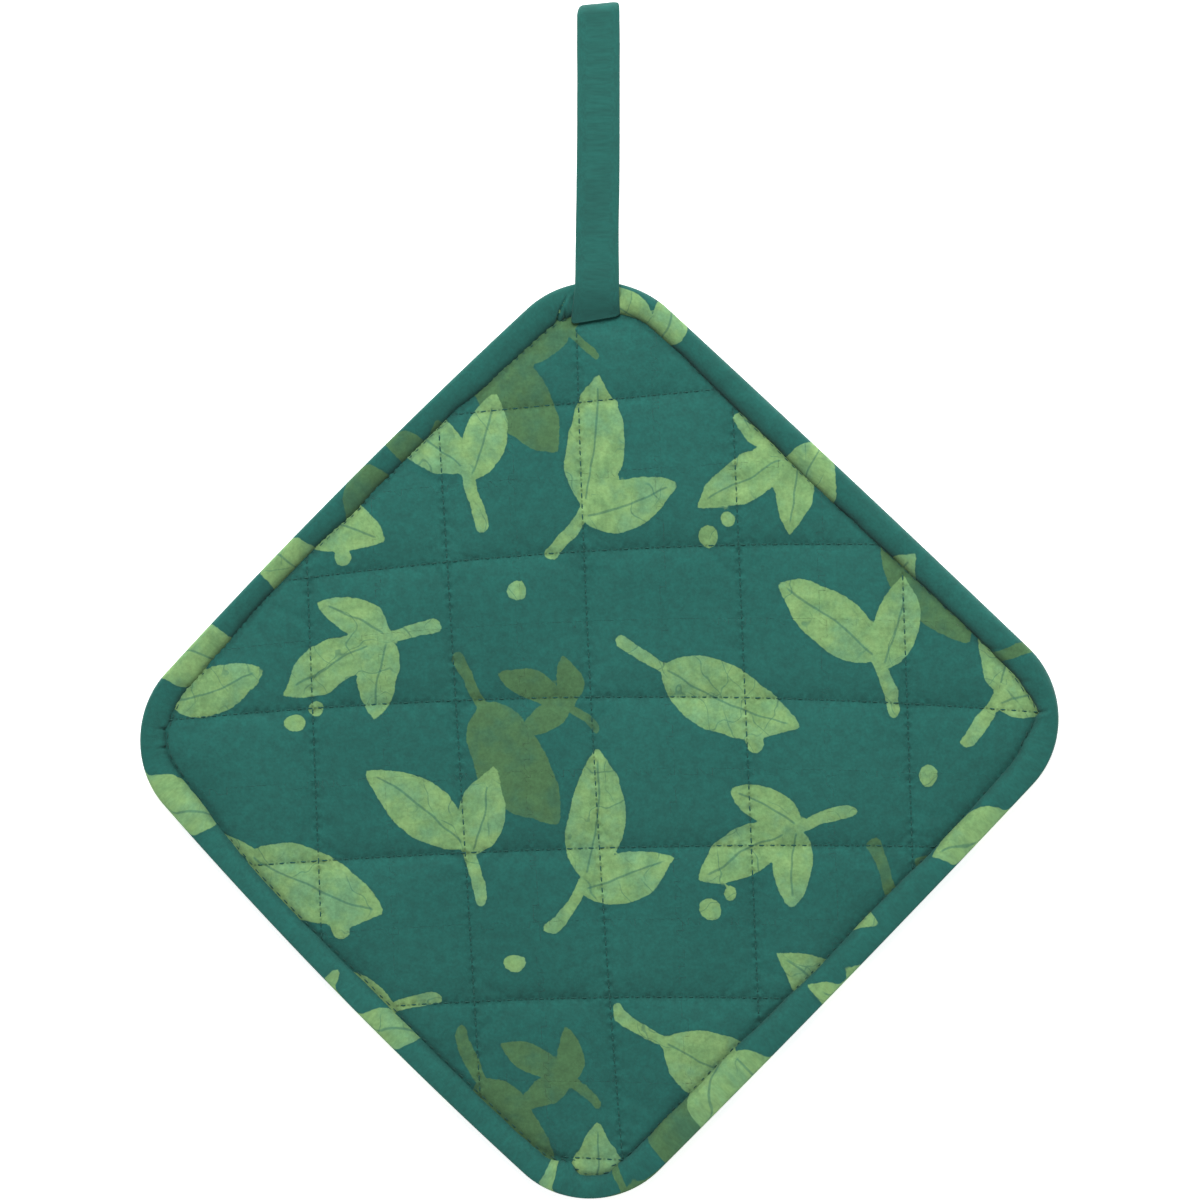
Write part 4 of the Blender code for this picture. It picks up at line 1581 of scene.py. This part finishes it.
@dataclass
class ClothGroups:
    """Effects that several cloths share, each built once as a node group."""

    weave: bpy.types.NodeTree
    dye: bpy.types.NodeTree
    crackle: bpy.types.NodeTree

    @classmethod
    def create(cls) -> "ClothGroups":
        """Builds the groups."""
        return cls(cls.make_weave(), cls.make_dye(), cls.make_crackle())

    @staticmethod
    def start(
        name: str, outputs: Sequence[str], extra: Sequence[str] = ()
    ) -> tuple[Graph, Mapping[str, Socket], bpy.types.Node]:
        """Opens a node group that takes a place, and names its other sockets.

        Args:
            name: Name of the group.
            outputs: Name of each output value.
            extra: Name of each input value besides the place.

        Returns:
            The graph, its input sockets by name, and its output node.
        """
        tree = bpy.data.node_groups.new(name, "ShaderNodeTree")
        tree.interface.new_socket("Place", in_out="INPUT", socket_type="NodeSocketVector")
        for keys, way in ((extra, "INPUT"), (outputs, "OUTPUT")):
            for key in keys:
                tree.interface.new_socket(key, in_out=way, socket_type="NodeSocketFloat")
        graph = Graph(tree)
        entry = graph.add("NodeGroupInput")
        return graph, entry.outputs, graph.add("NodeGroupOutput")

    @classmethod
    def make_weave(cls) -> bpy.types.NodeTree:
        """Plain weave: two crossed rows of half waves, the upper one chosen by a soft checker."""
        wander_size, wander, thread_power, shaded = 0.004, 1.1, 0.6, (0.15, 0.8)
        graph, sockets, out = cls.start("plain_weave", ("Height", "Shade"), ("Threads per metre",))
        split = graph.add("ShaderNodeSeparateXYZ")
        graph.feed(split.inputs[0], sockets["Place"])
        bend = graph.noise(sockets["Place"], wander_size, 1.0)
        slack = graph.times(graph.maths("SUBTRACT", bend, 0.5), wander)
        waves = []
        for axis in (0, 1):
            turns = graph.times(split.outputs[axis], sockets["Threads per metre"])
            waves.append(graph.maths("SINE", graph.times(graph.maths("ADD", turns, slack), math.pi)))
        over = graph.maths("MULTIPLY_ADD", graph.times(*waves), 0.5, 0.5)
        warp, weft = (graph.maths("POWER", graph.maths("ABSOLUTE", wave), thread_power) for wave in waves)
        under = graph.maths("SUBTRACT", 1.0, over)
        height = graph.maths("ADD", graph.times(warp, over), graph.times(weft, under))
        graph.fill(out, Height=height, Shade=graph.span(height, *shaded))
        return graph.tree

    @classmethod
    def make_dye(cls) -> bpy.types.NodeTree:
        """Uneven dye: wide clouds, small mottling and the short fibres of a soft nap."""
        noises = (("Cloud", 0.05, 2.0, 0.5), ("Mottle", 0.0034, 3.0, 0.6), ("Nap", 0.0009, 2.0, 0.6))
        graph, sockets, out = cls.start("dye_and_nap", [key for key, *_ in noises])
        for key, *settings in noises:
            graph.feed(out.inputs[key], graph.noise(sockets["Place"], *settings))
        return graph.tree

    @classmethod
    def make_crackle(cls) -> bpy.types.NodeTree:
        """Thin cracks in the dye resist.

        Two sets of wandering parallel lines cross: each is where a direction's distance, shifted by
        wide noise, passes half its spacing, and shows only where another noise is high.
        """
        sets = ((0.55, 0.0085, 0.034, 0.013), (2.3, 0.0125, 0.026, 0.017))
        waver, line_width, line_shown = 4.5, (0.008, 0.034), (0.47, 0.6)
        wash_size, washed = 0.011, (0.42, 0.68)
        graph, sockets, out = cls.start("dye_crackle", ("Lines", "Wash"))
        place = sockets["Place"]
        lines = []
        for turn, spacing, wander, area in sets:
            across = graph.add("ShaderNodeVectorMath", operation="DOT_PRODUCT")
            graph.feed(across.inputs[0], place)
            across.inputs[1].default_value = (math.cos(turn) / spacing, math.sin(turn) / spacing, 0.0)
            shift = graph.times(graph.noise(place, wander, 3.0, 0.55), waver)
            turns = graph.maths("FRACT", graph.maths("ADD", across.outputs["Value"], shift))
            away = graph.maths("ABSOLUTE", graph.maths("SUBTRACT", turns, 0.5))
            shown = graph.span(graph.noise(place, area, 1.0), *line_shown)
            lines.append(graph.times(graph.span(away, *line_width, 1.0, 0.0), shown))
        wash = graph.span(graph.noise(place, wash_size, 3.0, 0.6), *washed)
        graph.fill(out, Lines=graph.maths("MAXIMUM", *lines), Wash=wash)
        return graph.tree


@dataclass(frozen=True)
class ClothFinish:
    """A cotton cloth: its dye, its nap, its weave, whether it is printed and quilted, and the shade painted
    in its crevices and needle holes.
    """

    name: str
    coordinates: ClothCoordinates
    ground: Colour = (0.0112, 0.0925, 0.0765)
    ground_deep: Colour = (0.0095, 0.0840, 0.0695)
    pale: Colour = (0.1290, 0.2530, 0.0980)
    pale_bright: Colour = (0.1830, 0.3180, 0.1180)
    washed: Colour = (0.0900, 0.2300, 0.1330)
    deep: Colour = (0.0530, 0.1270, 0.0500)
    printed: bool = True
    quilted: bool = False
    halo: Colour = (0.006, 0.045, 0.037)
    halo_share: float = 0.16
    ink_edge: tuple[float, float] = (-0.18, 0.14)
    ragged: float = 0.7
    ragged_size: float = 0.0016
    light_size: float = 0.007
    rim_share: float = 0.35
    wash_share: float = 0.55
    deep_wash_share: float = 0.35
    crack_share: float = 0.42
    rib_share: float = 0.5
    cover_pale: float = 0.97
    cover_deep: float = 0.94
    speckle: tuple[float, float] = (0.88, 1.12)
    weave_shade: tuple[float, float] = (0.975, 1.02)
    # How much the painted shade darkens at a crevice, and the distance over which it fades.
    painted_crevice_shade: float = 0.26
    painted_shade_reach: float = 1.9
    pull_reach: float = 2.1
    pull_depth: tuple[float, float] = (-0.08, -0.3)
    pull_size: float = 0.006
    hole_reach: tuple[float, float] = (0.15, 0.55)
    hole_shade: float = 0.35
    roughness: float = 0.92
    sheen: float = 0.14
    sheen_roughness: float = 0.45
    specular: float = 0.25
    threads_per_metre: float = 2300.0
    weave_height: float = 0.012
    nap_height: float = 0.07
    bump_strength: float = 0.8

    def inked(self, graph: Graph, groups: ClothGroups, place: Socket, ground: Socket) -> Socket:
        """Lays the two inks over the ground, with crackle, wash and ribs in the paler one.

        Args:
            graph: The material's graph.
            groups: The shared node groups.
            place: Cloth coordinates.
            ground: Colour of the dyed ground.

        Returns:
            Colour of the printed cloth.
        """
        crackle = graph.group(groups.crackle, Place=place)
        wash, cracks = crackle.outputs["Wash"], crackle.outputs["Lines"]
        ragged = graph.maths("SUBTRACT", graph.noise(place, self.ragged_size, 2.0), 0.5)
        ragged = graph.times(ragged, self.ragged)
        pale_edge = graph.maths("ADD", graph.field("print_pale"), ragged)
        deep_edge = graph.maths("ADD", graph.field("print_deep"), ragged)
        halo = graph.span(graph.maths("MINIMUM", pale_edge, deep_edge), 0.1, 0.9, self.halo_share, 0.0)
        ground = graph.mix(halo, ground, self.halo)
        light = graph.span(graph.noise(place, self.light_size, 3.0, 0.62), 0.32, 0.72)
        pale = graph.mix(light, self.pale, self.pale_bright)
        pale = graph.mix(graph.span(pale_edge, -1.3, -0.1, 0.0, self.rim_share), pale, self.pale)
        pale = graph.mix(graph.times(wash, self.wash_share), pale, self.washed)
        pale = graph.mix(graph.times(cracks, self.crack_share), pale, ground)
        rib = graph.span(graph.maths("ABSOLUTE", graph.field("print_rib")), 0.12, 0.5, self.rib_share, 0.0)
        pale = graph.mix(graph.times(rib, graph.span(pale_edge, -2.4, -1.6, 1.0, 0.0)), pale, ground)
        deep = graph.mix(graph.times(wash, self.deep_wash_share), self.deep, ground)
        inks = ((deep_edge, self.cover_deep, deep), (pale_edge, self.cover_pale, pale))
        for edge, cover, ink in inks:
            ground = graph.mix(graph.times(graph.span(edge, *self.ink_edge, 1.0, 0.0), cover), ground, ink)
        return ground

    def stitch_pull(self, graph: Graph, place: Socket) -> tuple[Socket, Socket]:
        """Dimples of the sewing: waves along each seam, held close to it and uneven in depth.

        Args:
            graph: The material's graph.
            place: Cloth coordinates.

        Returns:
            Height in millimetres, and a mask of the needle holes between the stitches, where shade is
            painted.
        """
        heights, masks = [], []
        for name in ("upright", "level"):
            turns = graph.times(graph.field("stitch_" + name), 2.0 * math.pi)
            side = graph.maths("ABSOLUTE", graph.field("seam_" + name))
            wave = graph.maths("COSINE", turns)
            uneven = graph.span(graph.noise(place, self.pull_size, 1.0), 0.3, 0.7, *self.pull_depth)
            near = graph.span(side, 0.0, self.pull_reach, 1.0, 0.0)
            heights.append(graph.times(wave, graph.times(near, uneven)))
            at_seam = graph.span(side, *self.hole_reach, 1.0, 0.0)
            masks.append(graph.times(graph.span(wave, -0.55, -0.95), at_seam))
        return graph.maths("ADD", *heights), graph.maths("MAXIMUM", *masks)

    def build(self, groups: ClothGroups) -> bpy.types.Material:
        """Makes the material.

        Args:
            groups: The shared node groups.

        Returns:
            The material.
        """
        material, graph, shader = start_material(self.name)
        place = graph.add("ShaderNodeTexCoord").outputs[self.coordinates.value]
        weave = graph.group(groups.weave, Place=place, Threads_per_metre=self.threads_per_metre)
        dye = graph.group(groups.dye, Place=place)
        mottle, nap = dye.outputs["Mottle"], dye.outputs["Nap"]
        colour = graph.mix(graph.span(dye.outputs["Cloud"], 0.3, 0.7), self.ground_deep, self.ground)
        if self.printed:
            colour = self.inked(graph, groups, place, colour)
        value = graph.times(
            graph.span(mottle, 0.25, 0.75, *self.speckle), graph.span(nap, 0.2, 0.8, *self.speckle)
        )
        value = graph.times(value, graph.span(weave.outputs["Shade"], 0.0, 1.0, *self.weave_shade))
        # Painted shade: the colour is darkened where the painted shade distance is small, in the ditch,
        # along the level seams and at the strap's ends.
        crevice = graph.maths("ABSOLUTE", graph.field("painted_shade_distance"))
        shade = graph.span(crevice, 0.0, self.painted_shade_reach, 1.0 - self.painted_crevice_shade, 1.0)
        value = graph.times(value, shade)
        height = graph.times(weave.outputs["Height"], self.weave_height)
        for softness in (nap, mottle):
            height = graph.maths("ADD", height, graph.times(softness, self.nap_height))
        if self.quilted:
            pull, holes = self.stitch_pull(graph, place)
            # Painted shade in the needle holes between the stitches.
            value = graph.times(value, graph.maths("MULTIPLY_ADD", holes, -self.hole_shade, 1.0))
            height = graph.maths("ADD", height, pull)
        tone = graph.fill(graph.add("ShaderNodeHueSaturation"), Value=value, Color=colour)
        graph.fill(
            shader,
            Base_Color=tone.outputs[0],
            Roughness=graph.span(mottle, 0.2, 0.8, self.roughness - 0.05, self.roughness + 0.04),
            Sheen_Weight=self.sheen,
            Sheen_Roughness=self.sheen_roughness,
            Specular_IOR_Level=self.specular,
        )
        graph.bump(shader, height, self.bump_strength)
        return material


@dataclass(frozen=True)
class ThreadFinish:
    """Twisted sewing thread."""

    name: str
    colour: Colour
    shade: Colour
    roughness: float = 0.68
    rough_spread: float = 0.08
    sheen: float = 0.03
    specular: float = 0.15
    twist_per_metre: float = 9000.0
    twist_height: float = 0.05
    bump_strength: float = 0.7

    def build(self, groups: ClothGroups) -> bpy.types.Material:
        """Makes the material: slanting twist in colour and bump, with the cloth's nap over it.

        Args:
            groups: The shared node groups.

        Returns:
            The material.
        """
        material, graph, shader = start_material(self.name)
        places = graph.add("ShaderNodeTexCoord").outputs
        split = graph.add("ShaderNodeSeparateXYZ")
        graph.feed(split.inputs[0], places["UV"])
        lean = graph.times(graph.maths("ADD", split.outputs[0], split.outputs[1]), self.twist_per_metre)
        twist = graph.maths("MULTIPLY_ADD", graph.maths("SINE", lean), 0.5, 0.5)
        mottle = graph.group(groups.dye, Place=places["Object"]).outputs["Mottle"]
        low, high = self.roughness - self.rough_spread, self.roughness + self.rough_spread
        graph.fill(
            shader,
            Base_Color=graph.mix(twist, self.shade, self.colour),
            Roughness=graph.span(mottle, 0.2, 0.8, low, high),
            Sheen_Weight=self.sheen,
            Specular_IOR_Level=self.specular,
        )
        graph.bump(shader, graph.times(twist, self.twist_height), self.bump_strength)
        return material


@dataclass(frozen=True)
class SoftLight:
    """A large square lamp: where it is, what it points at, its side and its power."""

    name: str
    place: tuple[float, float, float]
    target: tuple[float, float, float]
    side: float
    power: float


@dataclass(frozen=True)
class Studio:
    """Pale floor, soft light and the camera straight above."""

    lights: tuple[SoftLight, ...] = (
        SoftLight("key_light", (-0.12, 1.1, 1.2), (0.0, 0.0, 0.0), 0.9, 35.5),
    )
    zenith: float = 0.22
    horizon: float = 1.9
    floor_glow: float = 0.65
    floor_side: float = 4.0
    floor_height: float = -0.0004
    floor_colour: Colour = (0.93, 0.93, 0.925)
    floor_grain: float = 0.985
    floor_steps: int = 8
    lens: float = 150.0
    sensor: float = 36.0
    clip: tuple[float, float] = (0.1, 10.0)
    view_width: float = 0.360
    view_middle: tuple[float, float] = (0.0003, 0.0)
    face_height: float = 0.006

    def add_floor(self) -> None:
        """A wide sheet of pale matt paper just under the pot holder, lit a little from below."""
        reach, steps = self.floor_side / 2.0, self.floor_steps
        line = np.linspace(-reach, reach, steps) / MM
        x, y = np.meshgrid(line, line, indexing="ij")
        points = np.column_stack((x.ravel(), y.ravel(), np.full(x.size, self.floor_height / MM)))
        floor = make_piece("floor", points, (grid_faces(steps, steps, False, False)[:, ::-1],))
        material, graph, shader = start_material("floor_paper")
        place = graph.add("ShaderNodeTexCoord").outputs["Object"]
        grain = graph.span(graph.noise(place, 0.01, 3.0), 0.3, 0.7)
        darker = tuple(self.floor_grain * part for part in self.floor_colour)
        graph.fill(
            shader,
            Base_Color=graph.mix(grain, darker, self.floor_colour),
            Roughness=0.95,
            Specular_IOR_Level=0.1,
            Emission_Color=WHITE,
            Emission_Strength=self.floor_glow,
        )
        floor.data.materials.append(material)

    def add_light(self, light: SoftLight) -> None:
        """Adds a lamp turned towards its target."""
        lamp = bpy.data.lights.new(light.name, "AREA")
        lamp.shape = "SQUARE"
        lamp.size = light.side
        lamp.energy = light.power
        holder = bpy.data.objects.new(light.name, lamp)
        bpy.context.scene.collection.objects.link(holder)
        holder.location = light.place
        aim = np.array(light.target) - np.array(light.place)
        flat = math.hypot(aim[0], aim[1])
        holder.rotation_euler = (math.atan2(flat, -aim[2]), 0.0, math.atan2(-aim[0], aim[1]))

    def add_camera(self) -> None:
        """The camera over the middle, with the photograph's width across the picture."""
        data = bpy.data.cameras.new("camera")
        data.lens = self.lens
        data.sensor_width = self.sensor
        data.dof.use_dof = False
        camera = bpy.data.objects.new("camera", data)
        bpy.context.scene.collection.objects.link(camera)
        distance = self.view_width * self.lens / data.sensor_width
        camera.location = (*self.view_middle, self.face_height + distance)
        data.clip_start, data.clip_end = self.clip
        bpy.context.scene.camera = camera

    def build(self) -> None:
        """Sets up floor, lights and camera, and a white room that is brighter low down."""
        self.add_floor()
        for light in self.lights:
            self.add_light(light)
        world = bpy.data.worlds.new("soft_room")
        world.use_nodes = True
        graph = Graph(world.node_tree)
        split = graph.add("ShaderNodeSeparateXYZ")
        graph.feed(split.inputs[0], graph.add("ShaderNodeTexCoord").outputs["Generated"])
        low = graph.maths("SUBTRACT", 1.0, graph.maths("ABSOLUTE", split.outputs[2]))
        strength = graph.maths("MULTIPLY_ADD", graph.maths("POWER", low, 2.0), self.horizon, self.zenith)
        sky = world.node_tree.nodes["Background"]
        graph.fill(sky, Color=WHITE, Strength=strength)
        bpy.context.scene.world = world
        bpy.context.scene.view_settings.view_transform = "Standard"
        self.add_camera()


def report(piece: bpy.types.Object) -> None:
    """Logs a piece's size and triangle count."""
    piece.data.calc_loop_triangles()
    size = ", ".join(f"{side / MM:.1f}" for side in piece.dimensions)
    LOG.info("%s: %s mm, %d triangles", piece.name, size, len(piece.data.loop_triangles))


def main() -> None:
    """Builds the pieces in order and the studio round them."""
    outline = PadOutline()
    leaf_print = LeafPrint()
    groups = ClothGroups.create()
    pad_cloth = ClothFinish("quilted_cotton", ClothCoordinates.OBJECT, quilted=True)
    tape_cloth = ClothFinish(
        "tape_cotton",
        ClothCoordinates.UV,
        ground=(0.0116, 0.0952, 0.0786),
        ground_deep=(0.0094, 0.0845, 0.0695),
    )
    strap_cloth = ClothFinish(
        "strap_cotton",
        ClothCoordinates.UV,
        ground=(0.0119, 0.0920, 0.0762),
        ground_deep=(0.0107, 0.0862, 0.0715),
        printed=False,
    )
    quilt_thread = ThreadFinish("quilting_cotton", (0.017, 0.086, 0.072), (0.010, 0.057, 0.047))
    seam_thread = ThreadFinish("seam_cotton", (0.020, 0.080, 0.066), (0.012, 0.052, 0.043))
    pad = PadCloths(outline, QuiltPattern(), leaf_print)
    tape = EdgeTape(outline, leaf_print)
    parts = (
        (pad, pad_cloth),
        (tape, tape_cloth),
        (HangingStrap(), strap_cloth),
        (QuiltThread(pad), quilt_thread),
        (EdgeSeamThread(pad, tape), seam_thread),
    )
    for part, finish in parts:
        piece = part.build()
        part.dress(piece, finish.build(groups))
        report(piece)
    Studio().build()
    bpy.context.view_layer.update()


if __name__ == "__main__":
    main()
